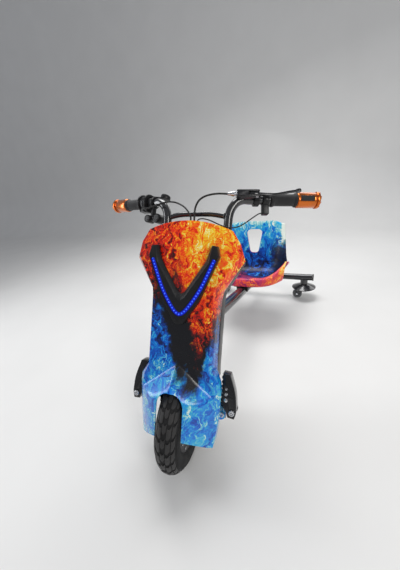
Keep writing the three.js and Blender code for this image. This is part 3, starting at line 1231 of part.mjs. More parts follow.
function seatFrames() {
  const stations = SEAT_STATION_SHARES.map(({ back, height, width, rise, sweep }) => ({
    back: SEAT.front + back * SEAT.length,
    height: SEAT.bottom + height * SEAT.height,
    halfWidth: width * SEAT.halfWidth,
    rise: rise * SEAT.sideRise,
    sweep: sweep * SEAT.frontSweep,
  }));
  return stations.map((station, i) => {
    const before = stations[Math.max(0, i - 1)];
    const after = stations[Math.min(stations.length - 1, i + 1)];
    const run = new THREE.Vector2(after.back - before.back, after.height - before.height).normalize();
    return { ...station, normalBack: -run.y, normalUp: run.x };
  });
}

function seatPoint(frame, share, depth, isTop) {
  const { start, lean } = SEAT_FLANK_SHARES;
  const reach = Math.abs(share);
  const side = Math.sign(share);
  const flank = Math.max(0, (reach - start) / (1 - start));
  const lift = frame.rise * flank * flank;
  const x = side * (reach * frame.halfWidth - frame.rise * lean * flank);
  const turn = Math.atan2(frame.rise * flank * 2, frame.halfWidth * (1 - start));
  const total = lift - Math.cos(turn) * depth;
  const drop = isTop ? SEAT.cornerDrop * flank ** 3 : 0;
  return [
    x + side * Math.sin(turn) * depth,
    frame.back + frame.normalBack * total + frame.sweep * reach ** 4,
    frame.height + frame.normalUp * total - drop,
  ];
}

function seatShell() {
  const frames = seatFrames();
  const top = frames.length - 1;
  const layer = (depth) => frames.map((frame, i) => {
    const row = [];
    for (let c = 0; c <= SEAT.columns; c += 1) {
      row.push(seatPoint(frame, (2 * c) / SEAT.columns - 1, depth, i === top));
    }
    return row;
  });
  return gridBody([layer(SEAT.wall), layer(0)]);
}

function seatWindow() {
  const { below, length, topHalf, bottomHalf, corner, depth } = SEAT_WINDOW;
  const middle = SEAT.bottom + SEAT.height - below;
  const high = middle + length / 2;
  const low = middle - length / 2;
  const outline = [
    [bottomHalf - corner / 2, low], [bottomHalf, low + corner], [topHalf, high - corner],
    [topHalf - corner, high], [corner - topHalf, high], [-topHalf, high - corner],
    [-bottomHalf, low + corner], [corner / 2 - bottomHalf, low],
  ];
  return uprightPlate(outline, SEAT.front + SEAT.length - depth, depth * 2);
}

function buildSeat(parent, tubes) {
  const shell = cut(seatShell(), seatWindow());
  addPart(parent, 'seat_shell', shell, printedSeat());
  const under = seatUnderside();
  for (const [word, back] of [['front', SADDLE.frontBack], ['rear', SADDLE.rearBack]]) {
    addPart(parent, `seat_saddle_${word}`, saddleBody(back, under, tubes), blackSteel());
  }
}

// The space from a gap under the seat shell upward, cut out of what carries the seat.
function seatUnderside() {
  const frames = seatFrames();
  const layer = (floor) => frames.map((frame) => {
    const row = [];
    for (let c = 0; c <= SEAT.columns; c += 1) {
      const [x, y, z] = seatPoint(frame, (2 * c) / SEAT.columns - 1, SEAT.wall + GAP, false);
      row.push([x, y, floor ? z + SEAT.height : z]);
    }
    return row;
  });
  return gridBody([layer(false), layer(true)]);
}

function saddleBody(back, under, tubes) {
  const { length, halfWidth, wrap } = SADDLE;
  const roof = SEAT.bottom + SEAT.sideRise;
  const radius = tubes.radius(back);
  const axisHeight = tubes.axisHeight(back);
  const [front, rear] = [back - length, back + length];
  const blank = block(-halfWidth, halfWidth, back - length / 2, back + length / 2, 0, roof);
  const tubeClear = rod(radius + GAP, 0, CASTER_AXIS_BACK, SIDES.tube, 'z').applyMatrix4(tubes.matrix);
  const half = radius + wrap;
  const keep = block(-half, half, front, rear, axisHeight, roof);
  const top = block(-halfWidth, halfWidth, front, rear, axisHeight + radius, roof);
  return cut(common(blank, join(keep, top)), under, tubeClear);
}

// The whole vehicle.

function buildSteering(rake) {
  const steering = subgroup(rake);
  steering.rotation.z = STEER_REST;
  const front = subgroup(steering);
  front.position.set(0, -STEER_AXIS_BACK, 0);
  const axle = subgroup(front);
  axle.position.set(0, -AXLE.ahead, -AXLE.drop);
  buildTyre(axle);
  buildHub(axle);
  buildAxle(axle);
  buildBrake(axle);
  buildLegs(front);
  buildCrown(front);
  buildColumn(front);
  buildKingpin(front);
  buildFrontCowl(front);
  buildRearCover(front);
  buildLamp(front);
  buildElectrics(front);
  buildPort(front);
  buildPower(front);
  buildHandlebar(front);
  const leftBar = barGroup(front, 1);
  const rightBar = barGroup(front, -1);
  buildGrips(leftBar, rightBar);
  buildThrottle(rightBar);
  const plane = brakePlane(leftBar);
  buildBrakeControls(plane);
  buildHorn(leftBar);
  buildSwitchBox(rightBar);
  buildPod(rightBar);
  buildGland(front);
  buildCables(front, plane, leftBar, rightBar);
  buildPegs(front);
}

function buildFrame(vehicle, axisFoot) {
  const headAxis = new THREE.Vector3(0, Math.sin(RAKE), Math.cos(RAKE));
  const headPoint = axisFoot.clone().addScaledVector(headAxis, MAIN_TUBE.rise);
  const { group, slim } = buildTubes(vehicle, headPoint, headAxis);
  group.updateMatrix();
  const beamPoint = new THREE.Vector3(0, CASTER_AXIS_BACK, BEAM.height);
  const slope = (beamPoint.z - headPoint.z) / (beamPoint.y - headPoint.y);
  const cosine = Math.cos(Math.atan(slope));
  const jointBack = headPoint.y + MAIN_TUBE.joint * cosine;
  const tubes = {
    matrix: group.matrix,
    radius: (back) => (back < jointBack ? MAIN_TUBE.radius : slim),
    axisHeight: (back) => headPoint.z + slope * (back - headPoint.y),
  };
  buildBeam(vehicle);
  buildSeat(vehicle, tubes);
  for (const [side, word] of [[1, 'left'], [-1, 'right']]) {
    buildCaster(vehicle, side, word);
  }
}

function buildVehicle() {
  const vehicle = new THREE.Group();
  const axisFoot = new THREE.Vector3(0, STEER_AXIS_BACK, 0).applyAxisAngle(new THREE.Vector3(1, 0, 0), -RAKE);
  axisFoot.z += DATUM_HEIGHT;
  const rake = subgroup(vehicle);
  rake.rotation.x = -RAKE;
  rake.position.copy(axisFoot);
  buildSteering(rake);
  vehicle.updateMatrixWorld(true);
  const tyreBox = new THREE.Box3().setFromObject(vehicle.getObjectByName('tyre'), true);
  axisFoot.z -= tyreBox.min.z;
  rake.position.copy(axisFoot);
  buildHead(rake);
  buildFrame(vehicle, axisFoot);
  vehicle.updateMatrixWorld(true);
  const box = new THREE.Box3().setFromObject(vehicle, true);
  vehicle.position.set(-(box.min.x + box.max.x) / 2, -(box.min.y + box.max.y) / 2, -box.min.z);
  const whole = new THREE.Group();
  whole.add(vehicle);
  whole.updateMatrixWorld(true);
  return whole;
}

export default buildVehicle();
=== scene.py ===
# %% [markdown]
# # An electric drift tricycle, dressed on its CAD frame
# The tricycle has a driven front wheel inside a tall printed cowl, a handlebar with its controls, a
# bucket seat on a slim telescoping frame, and two small casters on a cross beam. The CAD model
# gives every size and every joint. This script builds what the eye reads on top of it: smooth
# tubes, the printed flames, the tread and the small screws. Lengths are written in millimetres in
# the frame of the group they belong to, and a matrix takes them to metres.

# %% Load the fixed frame
import json
import math
import bmesh
import bpy
from mathutils import Matrix, Vector


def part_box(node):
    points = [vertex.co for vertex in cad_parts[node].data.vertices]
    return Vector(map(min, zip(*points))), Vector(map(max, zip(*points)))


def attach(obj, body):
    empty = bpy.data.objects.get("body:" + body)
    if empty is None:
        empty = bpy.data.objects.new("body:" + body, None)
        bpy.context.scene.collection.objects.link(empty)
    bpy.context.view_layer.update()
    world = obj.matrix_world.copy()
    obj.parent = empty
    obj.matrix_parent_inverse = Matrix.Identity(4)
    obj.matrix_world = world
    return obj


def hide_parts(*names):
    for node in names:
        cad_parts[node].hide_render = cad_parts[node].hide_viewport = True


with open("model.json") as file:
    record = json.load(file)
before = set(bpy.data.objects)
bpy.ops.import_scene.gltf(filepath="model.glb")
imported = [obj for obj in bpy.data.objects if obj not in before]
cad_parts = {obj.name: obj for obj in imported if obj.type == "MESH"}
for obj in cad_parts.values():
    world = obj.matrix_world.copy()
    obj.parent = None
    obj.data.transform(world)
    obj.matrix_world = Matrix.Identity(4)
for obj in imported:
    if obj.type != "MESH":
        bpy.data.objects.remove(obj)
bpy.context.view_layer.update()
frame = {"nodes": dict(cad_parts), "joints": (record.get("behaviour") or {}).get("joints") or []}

# %% [markdown]
# ## Frames of reference
# The front assembly leans back by the rake and is stored turned a little to its left. Pieces on it
# are far easier to write in its own straight frame. One matrix for the steering, one for the wheel
# and one for each end of the bar are enough, and they come from the steering joint in the packed
# record, so that they can't drift from the CAD model.

# %% Matrices of the groups, from millimetres to metres
MM = Matrix.Scale(0.001, 4)
RAKE, STEER_REST = math.radians(24.7), math.radians(8.5)
BAR_SWEEP, BAR_RISE = math.radians(18), math.radians(3.9)
BAR_END = Vector((296, 56, 563))
AXLE_Y, AXLE_Z = -23, -10.4
CASTER_BACK, CASTER_SIDE, BEAM_HEIGHT = 955, 245, 125
SIDES = ((1, "left"), (-1, "right"))
joints = {joint["name"]: joint for joint in frame["joints"]}
HEAD = Matrix.Translation(joints["steer"]["pos_m"]) @ Matrix.Rotation(-RAKE, 4, "X")
RAKED = HEAD @ MM @ Matrix.Translation((0, 0, -200))
STEERING = HEAD @ Matrix.Rotation(STEER_REST, 4, "Z") @ MM @ Matrix.Translation((0, -25, -200))
WHEEL = STEERING @ Matrix.Translation((0, AXLE_Y, AXLE_Z))
beam_low, beam_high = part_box("axle_beam")
GROUND_Y = (beam_low.y + beam_high.y) / 2 - CASTER_BACK * 0.001
VEHICLE = Matrix.Translation((0, GROUND_Y, 0)) @ MM
BEAM = VEHICLE @ Matrix.Translation((0, CASTER_BACK, BEAM_HEIGHT))


def outward(side):
    """The direction of the grip bar on one side."""
    level = math.cos(BAR_RISE)
    return Vector((side * level * math.cos(BAR_SWEEP), level * math.sin(BAR_SWEEP),
                   math.sin(BAR_RISE)))


def bar_matrix(side):
    """Frame at a bar end: X outward along the bar, Z up."""
    along = outward(side)
    across = Vector((0, 0, 1)).cross(along).normalized()
    turn = Matrix((along, across, along.cross(across))).transposed().to_4x4()
    return STEERING @ Matrix.Translation((side * BAR_END.x, BAR_END.y, BAR_END.z)) @ turn


BAR = {word: bar_matrix(side) for side, word in SIDES}
print("datum of the front assembly", [round(c, 4) for c in STEERING @ Vector((0, 0, 0))])

# %% [markdown]
# ## The camera comes first
# It stands low in front of the tricycle and looks back and down, with a very wide lens: the cowl
# looms and the seat falls away. Its place and its three directions were solved from the photograph
# against the CAD model.

# %% Camera
right = Vector((0.90320953, 0.4126039, -0.11819715))
down = Vector((0.06480422, -0.40333328, -0.91275554))
ahead = Vector((-0.42427934, 0.81674983, -0.39103294))
place = Vector((0.28999, -0.38052 + GROUND_Y, 0.67626))
lens = bpy.data.cameras.new("camera")
SENSOR, FOCAL_PIXELS, PICTURE_HEIGHT = 36, 240, 570
lens.sensor_width = SENSOR
lens.lens = FOCAL_PIXELS / PICTURE_HEIGHT * SENSOR
lens.shift_y = -0.00175
lens.clip_start = 0.01
camera = bpy.data.objects.new("camera", lens)
turn = Matrix((right, -down, -ahead)).transposed().to_4x4()
camera.matrix_world = Matrix.Translation(place) @ turn
bpy.context.scene.collection.objects.link(camera)
bpy.context.scene.camera = camera
print("camera at", [round(c, 3) for c in place])

# %% [markdown]
# ## Materials
# Each real finish shows some detail up close: orange peel in paint, grain in moulded plastic, fine
# turning marks on metal. One helper builds them all: a Principled shader whose colour and roughness
# wander with a noise, and a bump from a finer one. Numbers that are the same all over go straight
# on the shader's sockets.

# %% A helper that wires nodes
class Nodes:
    """A small wrapper that makes nodes and links by name."""

    def __init__(self, name):
        self.material = bpy.data.materials.new(name)
        self.material.use_nodes = True
        self.tree = self.material.node_tree
        self.tree.nodes.clear()
        self.shader = self.add("ShaderNodeBsdfPrincipled")
        output = self.add("ShaderNodeOutputMaterial")
        self.link(self.shader.outputs[0], output.inputs["Surface"])

    def add(self, kind, **values):
        node = self.tree.nodes.new(kind)
        for key, value in values.items():
            setattr(node, key, value)
        return node

    def link(self, source, target):
        self.tree.links.new(source, target)

    def feed(self, socket, value):
        if isinstance(value, bpy.types.NodeSocket):
            self.link(value, socket)
        else:
            socket.default_value = value

    def coordinates(self, uv=None):
        if uv:
            return self.add("ShaderNodeUVMap", uv_map=uv).outputs[0]
        return self.add("ShaderNodeTexCoord").outputs["Object"]

    def moved(self, vector, location=(0, 0, 0), rotation=(0, 0, 0), scale=(1, 1, 1)):
        node = self.add("ShaderNodeMapping")
        self.feed(node.inputs["Vector"], vector)
        node.inputs["Location"].default_value = location
        node.inputs["Rotation"].default_value = rotation
        node.inputs["Scale"].default_value = scale
        return node.outputs[0]

    def noise(self, vector, scale, detail=3, rough=0.5):
        node = self.add("ShaderNodeTexNoise", noise_type="FBM")
        self.feed(node.inputs["Vector"], vector)
        node.inputs["Scale"].default_value = scale
        node.inputs["Detail"].default_value = detail
        node.inputs["Roughness"].default_value = rough
        return node.outputs[0]

    def math(self, operation, a, b=0.0, clamp=False):
        node = self.add("ShaderNodeMath", operation=operation, use_clamp=clamp)
        for socket, value in zip(node.inputs, (a, b)):
            self.feed(socket, value)
        return node.outputs[0]

    def ranged(self, value, low, high, to_low=0.0, to_high=1.0, smooth=False):
        kind = "SMOOTHSTEP" if smooth else "LINEAR"
        node = self.add("ShaderNodeMapRange", interpolation_type=kind)
        for socket, number in zip(node.inputs, (value, low, high, to_low, to_high)):
            self.feed(socket, number)
        return node.outputs[0]

    def mix(self, share, a, b):
        node = self.add("ShaderNodeMix", data_type="RGBA", blend_type="MIX")
        self.feed(node.inputs[0], share)
        self.feed(node.inputs[6], a if isinstance(a, bpy.types.NodeSocket) else (*a, 1))
        self.feed(node.inputs[7], b if isinstance(b, bpy.types.NodeSocket) else (*b, 1))
        return node.outputs[2]

    def ramp(self, value, stops):
        node = self.add("ShaderNodeValToRGB")
        self.feed(node.inputs[0], value)
        elements = node.color_ramp.elements
        while len(elements) < len(stops):
            elements.new(0.5)
        for element, (position, colour) in zip(elements, stops):
            element.position = position
            element.color = (*colour, 1)
        return node.outputs[0]

    def bump(self, height, distance):
        node = self.add("ShaderNodeBump")
        node.inputs["Strength"].default_value = 1.0
        node.inputs["Distance"].default_value = distance
        self.feed(node.inputs["Height"], height)
        self.link(node.outputs[0], self.shader.inputs["Normal"])

    def plus(self, a, b, clamp=False):
        return self.math("ADD", a, b, clamp=clamp)

    def minus(self, a, b, clamp=False):
        return self.math("SUBTRACT", a, b, clamp=clamp)

    def times(self, a, b):
        return self.math("MULTIPLY", a, b)

    def split(self, vector):
        """The first two numbers of a vector."""
        node = self.add("ShaderNodeSeparateXYZ")
        self.feed(node.inputs[0], vector)
        return node.outputs[0], node.outputs[1]

    def fix(self, values):
        """Sets constants straight on the shader's sockets."""
        for name, value in values.items():
            self.shader.inputs[name].default_value = value


def finish(name, colour, roughness, metallic=0.0, coat=0.0, grain=900, depth=0.00004, spread=0.12,
           vary=0.25, streak=(1, 1, 1), sheen=0.0):
    """A plain finish: colour and roughness wander slowly, and a fine grain gives the bump."""
    nodes = Nodes(name)
    place = nodes.coordinates()
    slow = nodes.noise(place, 28, 4, 0.6)
    fine = nodes.noise(nodes.moved(place, scale=streak), grain, 3, 0.6)
    darker = tuple(c * (1 - vary) for c in colour)
    lighter = tuple(min(1, c * (1 + vary) + 0.004) for c in colour)
    nodes.link(nodes.mix(slow, darker, lighter), nodes.shader.inputs["Base Color"])
    blend = nodes.plus(nodes.times(slow, 0.6), nodes.times(fine, 0.4))
    rough = nodes.ranged(blend, 0.3, 0.7, max(0.02, roughness - spread), min(1, roughness + spread))
    nodes.link(rough, nodes.shader.inputs["Roughness"])
    nodes.bump(fine, depth)
    nodes.fix({"Metallic": metallic, "Coat Weight": coat, "Coat Roughness": 0.06,
               "Sheen Weight": sheen, "Specular IOR Level": 0.5 if metallic or coat else 0.32})
    return nodes.material

# %% Plain finishes
GLOSS_BLACK = finish("gloss_black_paint", (0.012, 0.012, 0.014), 0.22, coat=0.8, grain=260,
                     depth=0.00002, spread=0.08)
SATIN_BLACK = finish("satin_black_plastic", (0.009, 0.009, 0.01), 0.34, grain=1500, depth=0.00005)
SOFT_BLACK = finish("soft_black_rubber", (0.02, 0.02, 0.021), 0.72, grain=1100, depth=0.00008,
                    sheen=0.15)
BLACK_ALLOY = finish("black_anodised_alloy", (0.014, 0.014, 0.016), 0.3, metallic=0.4, grain=1300,
                     depth=0.00002)
STEEL = finish("polished_steel", (0.62, 0.63, 0.65), 0.2, metallic=1, grain=700, streak=(1, 1, 8),
               depth=0.00001)
DULL_STEEL = finish("zinc_plate", (0.42, 0.43, 0.45), 0.38, metallic=1, grain=500, depth=0.00002)
CAST_ALLOY = finish("cast_alloy", (0.33, 0.34, 0.36), 0.48, metallic=0.9, grain=420, depth=0.00008)
MOTOR_BLACK = finish("motor_shell_paint", (0.03, 0.03, 0.033), 0.4, metallic=0.5, grain=500,
                     depth=0.00003)
ORANGE_ALLOY = finish("orange_anodised_alloy", (0.6, 0.14, 0.012), 0.22, metallic=0.85, coat=0.3,
                      grain=800, streak=(8, 1, 1), depth=0.00001, vary=0.12, spread=0.07)
CORD_SKIN = finish("cord_sheath", (0.012, 0.012, 0.012), 0.4, grain=1800, depth=0.00003)
BATTERY_FILM = finish("battery_film", (0.03, 0.12, 0.36), 0.3, coat=0.3, grain=120, depth=0.0001)
RED_BUTTON = finish("red_button", (0.5, 0.02, 0.012), 0.3, grain=1200, depth=0.00002)
GREEN_BUTTON = finish("green_button", (0.02, 0.3, 0.05), 0.3, grain=1200, depth=0.00002)
BLUE_BUTTON = finish("blue_button", (0.02, 0.1, 0.5), 0.25, grain=1200, depth=0.00002)
DARK_GLASS = finish("display_glass", (0.008, 0.009, 0.012), 0.1, coat=1, grain=300, depth=0.000005,
                    spread=0.04)
print("plain finishes", len(bpy.data.materials))

# %% [markdown]
# ## Shape helpers
# Most of the tricycle is turned, swept or cut from plate. A turned piece is a profile spun about X,
# a swept piece follows a curve through its route, and a plate is an outline pulled to a thickness.
# Every helper fills a bmesh in millimetres. One last helper takes it to its place, rounds its
# edges, gives it its finish and lets it ride a body.

# %% Curves, turned, swept and plate shapes
def through(route, steps):
    """Points on a smooth curve through a route, evenly spaced by length."""
    points = [Vector(p) for p in route]
    ends = [points[0] * 2 - points[1], *points, points[-1] * 2 - points[-2]]
    dense = []
    for a, b, c, d in zip(ends, ends[1:], ends[2:], ends[3:]):
        ta = max((b - a).length, 1e-6) ** 0.5
        tb = max((c - b).length, 1e-6) ** 0.5
        tc = max((d - c).length, 1e-6) ** 0.5
        start = ((b - a) / ta - (c - a) / (ta + tb) + (c - b) / tb) * tb
        stop = ((c - b) / tb - (d - b) / (tb + tc) + (d - c) / tc) * tb
        for i in range(24):
            t = i / 24
            dense.append(b * (2 * t**3 - 3 * t**2 + 1) + start * (t**3 - 2 * t**2 + t)
                         + c * (3 * t**2 - 2 * t**3) + stop * (t**3 - t**2))
    dense.append(points[-1])
    walked = [0.0]
    for a, b in zip(dense, dense[1:]):
        walked.append(walked[-1] + (b - a).length)
    spaced = []
    j = 0
    for i in range(steps + 1):
        goal = walked[-1] * i / steps
        while j < len(dense) - 2 and walked[j + 1] < goal:
            j += 1
        share = (goal - walked[j]) / max(walked[j + 1] - walked[j], 1e-9)
        spaced.append(dense[j].lerp(dense[j + 1], min(1, max(0, share))))
    return spaced


def turns(count):
    """Even angles around a full circle."""
    return [2 * math.pi * k / count for k in range(count)]


def hoop(bm, centre, a, b, radius, count):
    """A ring of vertices about a centre, in the plane of two directions."""
    return [bm.verts.new(centre + (a * math.cos(t) + b * math.sin(t)) * radius)
            for t in turns(count)]


def add_ring_faces(bm, rings, closed=False):
    """Walls between one ring of vertices and the next."""
    count = len(rings[0])
    pairs = list(zip(rings, rings[1:]))
    if closed:
        pairs.append((rings[-1], rings[0]))
    for low, high in pairs:
        for i in range(count):
            corners = [low[i], low[(i + 1) % count], high[(i + 1) % count], high[i]]
            unique = list(dict.fromkeys(corners))
            if len(unique) > 2:
                bm.faces.new(unique)


def sweep(bm, points, radius, sides=16):
    """A round tube along points, with flat ends."""
    rings = []
    normal = None
    for i, point in enumerate(points):
        before, after = points[max(0, i - 1)], points[min(len(points) - 1, i + 1)]
        along = (after - before).normalized()
        if normal is None:
            normal = along.orthogonal().normalized()
        normal = (normal - along * normal.dot(along)).normalized()
        rings.append(hoop(bm, point, normal, along.cross(normal), radius, sides))
    add_ring_faces(bm, rings)
    bm.faces.new(rings[0])
    bm.faces.new(reversed(rings[-1]))


AXES = {"x": Matrix.Identity(3), "y": Matrix.Rotation(math.pi / 2, 3, "Z"),
        "z": Matrix.Rotation(-math.pi / 2, 3, "Y")}


def spin(bm, profile, sides=48, axis="x", at=(0, 0, 0)):
    """A profile of (along, radius) spun about an axis.

    It closes on itself, or starts and ends on the axis."""
    closed = profile[0][1] > 1e-6 or profile[-1][1] > 1e-6
    rings = []
    for along, radius in profile:
        if radius < 1e-6:
            point = bm.verts.new(AXES[axis] @ Vector((along, 0, 0)) + Vector(at))
            rings.append([point] * sides)
            continue
        rings.append([
            bm.verts.new(AXES[axis] @ Vector((along, radius * math.cos(t), radius * math.sin(t)))
                         + Vector(at))
            for t in turns(sides)])
    add_ring_faces(bm, rings, closed)


def turned(profile, sides=48, axis="x", at=(0, 0, 0)):
    """A builder that spins one profile."""
    return lambda bm: spin(bm, profile, sides, axis, at)


def plate(bm, outline, low, high, axis="y"):
    """An outline pulled along an axis from low to high."""
    def point(a, b, along):
        return {"x": (along, a, b), "y": (a, along, b), "z": (a, b, along)}[axis]
    near = [bm.verts.new(point(a, b, low)) for a, b in outline]
    far = [bm.verts.new(point(a, b, high)) for a, b in outline]
    bm.faces.new(near)
    bm.faces.new(reversed(far))
    for i in range(len(outline)):
        j = (i + 1) % len(outline)
        bm.faces.new([near[j], near[i], far[i], far[j]])


def box(bm, low, high):
    """A plain block between two corners."""
    plate(bm, [(low[0], low[2]), (high[0], low[2]), (high[0], high[2]), (low[0], high[2])], low[1],
          high[1])


def block(low, high):
    """A builder of one plain block."""
    return lambda bm: box(bm, low, high)


def slab(bm, upper, lower):
    """Closes two grids of vertices into a solid sheet."""
    rows, columns = len(upper) - 1, len(upper[0]) - 1
    for i in range(rows):
        for c in range(columns):
            bm.faces.new([upper[i][c], upper[i][c + 1], upper[i + 1][c + 1], upper[i + 1][c]])
            bm.faces.new([lower[i][c], lower[i + 1][c], lower[i + 1][c + 1], lower[i][c + 1]])
    ring = [(0, c) for c in range(columns)] + [(i, columns) for i in range(rows)]
    ring += [(rows, c) for c in range(columns, 0, -1)] + [(i, 0) for i in range(rows, 0, -1)]
    for (i, c), (j, d) in zip(ring, ring[1:] + ring[:1]):
        bm.faces.new([upper[i][c], lower[i][c], lower[j][d], upper[j][d]])


def lay_print(bm, spots):
    """Writes the print's flat coordinates, in decimetres, from a table of vertices."""
    uv = bm.loops.layers.uv.new("print")
    for face in bm.faces:
        for loop in face.loops:
            loop[uv].uv = spots[loop.vert]

# %% Putting a shape in its place
def linked(name, data):
    """A new object in the scene."""
    item = bpy.data.objects.new(name, data)
    bpy.context.scene.collection.objects.link(item)
    return item


def mesh_object(name, bm):
    """Turns a filled bmesh into an object in the scene."""
    mesh = bpy.data.meshes.new(name)
    bm.to_mesh(mesh)
    bm.free()
    return linked(name, mesh)


def solid(name, build, matrix=VEHICLE):
    """An object made by a builder function that fills a bmesh in millimetres."""
    bm = bmesh.new()
    build(bm)
    bmesh.ops.remove_doubles(bm, verts=bm.verts, dist=0.001)
    bmesh.ops.recalc_face_normals(bm, faces=bm.faces)
    bm.transform(matrix)
    return mesh_object(name, bm)


def bake(item):
    """Applies every modifier, so that the mesh is plain."""
    bpy.context.view_layer.update()
    graph = bpy.context.evaluated_depsgraph_get()
    mesh = bpy.data.meshes.new_from_object(item.evaluated_get(graph))
    item.modifiers.clear()
    item.data = mesh


def cut(item, tool):
    """Takes a tool's volume out of an item."""
    modifier = item.modifiers.new("cut", "BOOLEAN")
    modifier.operation = "DIFFERENCE"
    modifier.object = tool
    modifier.solver = "EXACT"
    bake(item)
    bpy.data.objects.remove(tool)


def drill(item, matrix, radius, low, high, axis, at, sides=32):
    """Bores a round hole in an item, from low to high along an axis."""
    rod = [(low, 0), (low, radius), (high, radius), (high, 0)]
    cut(item, solid("bore", turned(rod, sides, axis, at), matrix))


def rounded(item, width, segments=2, angle=32):
    """Rounds every edge sharper than an angle."""
    modifier = item.modifiers.new("edges", "BEVEL")
    modifier.width = width * 0.001
    modifier.segments = segments
    modifier.limit_method = "ANGLE"
    modifier.angle_limit = math.radians(angle)
    modifier.use_clamp_overlap = True
    bake(item)


def settle(item, body, slot, material, stands_for=(), sharp=38):
    """Gives a finished piece its shading, its finish and its place in the frame."""
    for face in item.data.polygons:
        face.use_smooth = True
    item.data.set_sharp_from_angle(angle=math.radians(sharp))
    if material:
        item.data.materials.clear()
        item.data.materials.append(material)
    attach(item, body)
    if stands_for:
        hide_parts(*stands_for)
    return item


def part(name, build, matrix, body, slot, material, nodes=(), width=0.0, sharp=35, segments=2,
         angle=32):
    """A whole piece in one call: built, rounded and settled."""
    item = solid(name, build, matrix)
    if width:
        rounded(item, width, segments, angle)
    return settle(item, body, slot, material, nodes, sharp)


def copy_of(node, width, segments=2, angle=30):
    """A copy of a CAD node with merged corners and rounded edges."""
    bm = bmesh.new()
    bm.from_mesh(frame["nodes"][node].data)
    bmesh.ops.remove_doubles(bm, verts=bm.verts, dist=0.00001)
    bmesh.ops.dissolve_limit(bm, angle_limit=math.radians(1.5), verts=bm.verts, edges=bm.edges)
    item = mesh_object(node + "_smooth", bm)
    rounded(item, width, segments, angle)
    return item


def smooth_node(node, width, body, slot, material, **options):
    """A CAD node's own shape, with rounded edges, standing for the node."""
    return settle(copy_of(node, width, **options), body, slot, material, [node])


# Most pieces share one of these: the body that they ride on, the slot of their material, and its
# finish.
PLASTIC = ("steering", "black_plastic", SATIN_BLACK)
BRIGHT = ("steering", "bright_steel", STEEL)
PAINTED = ("steering", "black_steel", GLOSS_BLACK)
RUBBER = ("steering", "grip_rubber", SOFT_BLACK)
FRAME_BLACK = ("frame", "black_steel", GLOSS_BLACK)
print("shape helpers are ready")

# %% [markdown]
# ## Cables and wires
# The brake cable, the throttle cable and the thin horn wire dive into one rubber gland on the
# cowl's top. Their routes are the CAD model's own, so they are repeated here point by point, and
# each is drawn as one smooth tube.

# %% The three cords
ROUTES = {
    "brake_cable": (2.4, 60, [
        (82.26, -44.6, 551.73), (72, -47.7, 551.5), (62, -49.6, 551.4), (45.2, -51.5, 549.5),
        (28.4, -53, 544.5), (16.2, -54, 535.9), (8.5, -53.5, 522.7), (5.5, -52, 510.5),
        (5, -50.5, 498), (5, -50, 485.2)]),
    "throttle_cable": (2.2, 80, [
        (-168.2, 3.4, 532), (-169.8, -4, 531), (-165, -14, 530), (-154, -20, 529.5),
        (-140, -23.5, 530), (-126, -27, 531.5), (-112, -30.5, 534), (-94, -33, 538),
        (-76, -34.5, 541), (-55, -38, 538), (-38, -41, 531), (-24, -45, 522), (-12, -49, 509),
        (-5, -50, 497), (-4, -50, 485.2)]),
    "switch_wire": (1.5, 90, [
        (14, -50, 485.2), (14, -50, 487.6), (16.5, -50, 490), (24, -49, 492), (36, -45, 491),
        (47, -41, 488), (60, -38, 482.5), (73, -35.5, 477.5), (84, -34, 474.5), (94, -30, 474),
        (108, -21, 478), (122, -5, 490), (134, 5, 502), (146, 8.5, 512), (154, 10.2, 517.8),
        (158, 11.3, 519.6), (161.5, 12.3, 520.2)]),
}
for cord_name, (radius, steps, route) in ROUTES.items():
    line = through(route, steps)
    piece = part(cord_name + "_sheath", lambda bm: sweep(bm, line, radius, 14), STEERING,
                 "steering", "cord_black", CORD_SKIN, [cord_name], sharp=50)

# %% [markdown]
# ## Handlebar tubes
# Two tubes rise from the cowl, bend outward in one sweep and become the grip bars; a thinner
# crossbar joins them. The black paint is glossy, so what sells them is a long clean highlight: many
# sides, no facets, and a clear coat.

# %% Risers and crossbar
BAR_RADIUS = 11.1
BEND_SHARES = [(0.03, 0.02, 0.27), (0.13, 0.08, 0.55), (0.4, 0.28, 0.86), (0.72, 0.62, 0.985)]
CROSSBAR = [(-72.2, -14.9, 506.9), (-41.5, -19, 511), (0, -19, 512), (41.5, -19, 511),
            (72.2, -14.9, 506.9)]


def bar_point(distance):
    """A point on the left grip bar's axis, at a distance from its end."""
    return BAR_END - outward(1) * distance


def riser_route(side):
    """Up out of the cowl, through the bend and along the grip bar."""
    gap, front, knee, foot = 83, -14, 495, 404.3
    end = bar_point(175)
    points = [(gap, front, foot), (gap, front, (foot + knee) / 2), (gap, front, knee)]
    for x, y, z in BEND_SHARES:
        points.append((gap + x * (end.x - gap), front + y * (end.y - front),
                       knee + z * (end.z - knee)))
    points += [tuple(bar_point(distance)) for distance in (175, 115.5, 57.75, 3.2)]
    return [(side * x, y, z) for x, y, z in points]


for side, word in SIDES:
    part(f"riser_tube_{word}", lambda bm: sweep(bm, through(riser_route(side), 90), BAR_RADIUS, 40),
         STEERING, *PAINTED, [f"riser_{word}"], sharp=50)
part("crossbar_tube", lambda bm: sweep(bm, through(CROSSBAR, 40), 7, 32), STEERING, *PAINTED,
     ["crossbar"], sharp=50)


def weld_beads(bm):
    """A narrow bead where the crossbar meets each riser."""
    for side in (1, -1):
        along = Vector((side, 0.02, -0.04)).normalized()
        centre = Vector((side * 72.4, -14.9, 506.8))
        across = along.orthogonal().normalized()
        other = along.cross(across)
        rings = []
        for t in turns(40):
            radial = across * math.cos(t) + other * math.sin(t)
            swell = 1.5 + 0.25 * math.sin(9 * t)
            rings.append(hoop(bm, centre + radial * 6.8, radial, along, swell, 10))
        add_ring_faces(bm, rings, closed=True)


part("crossbar_weld", weld_beads, STEERING, *PAINTED, sharp=180)
print("handlebar tubes are in place")

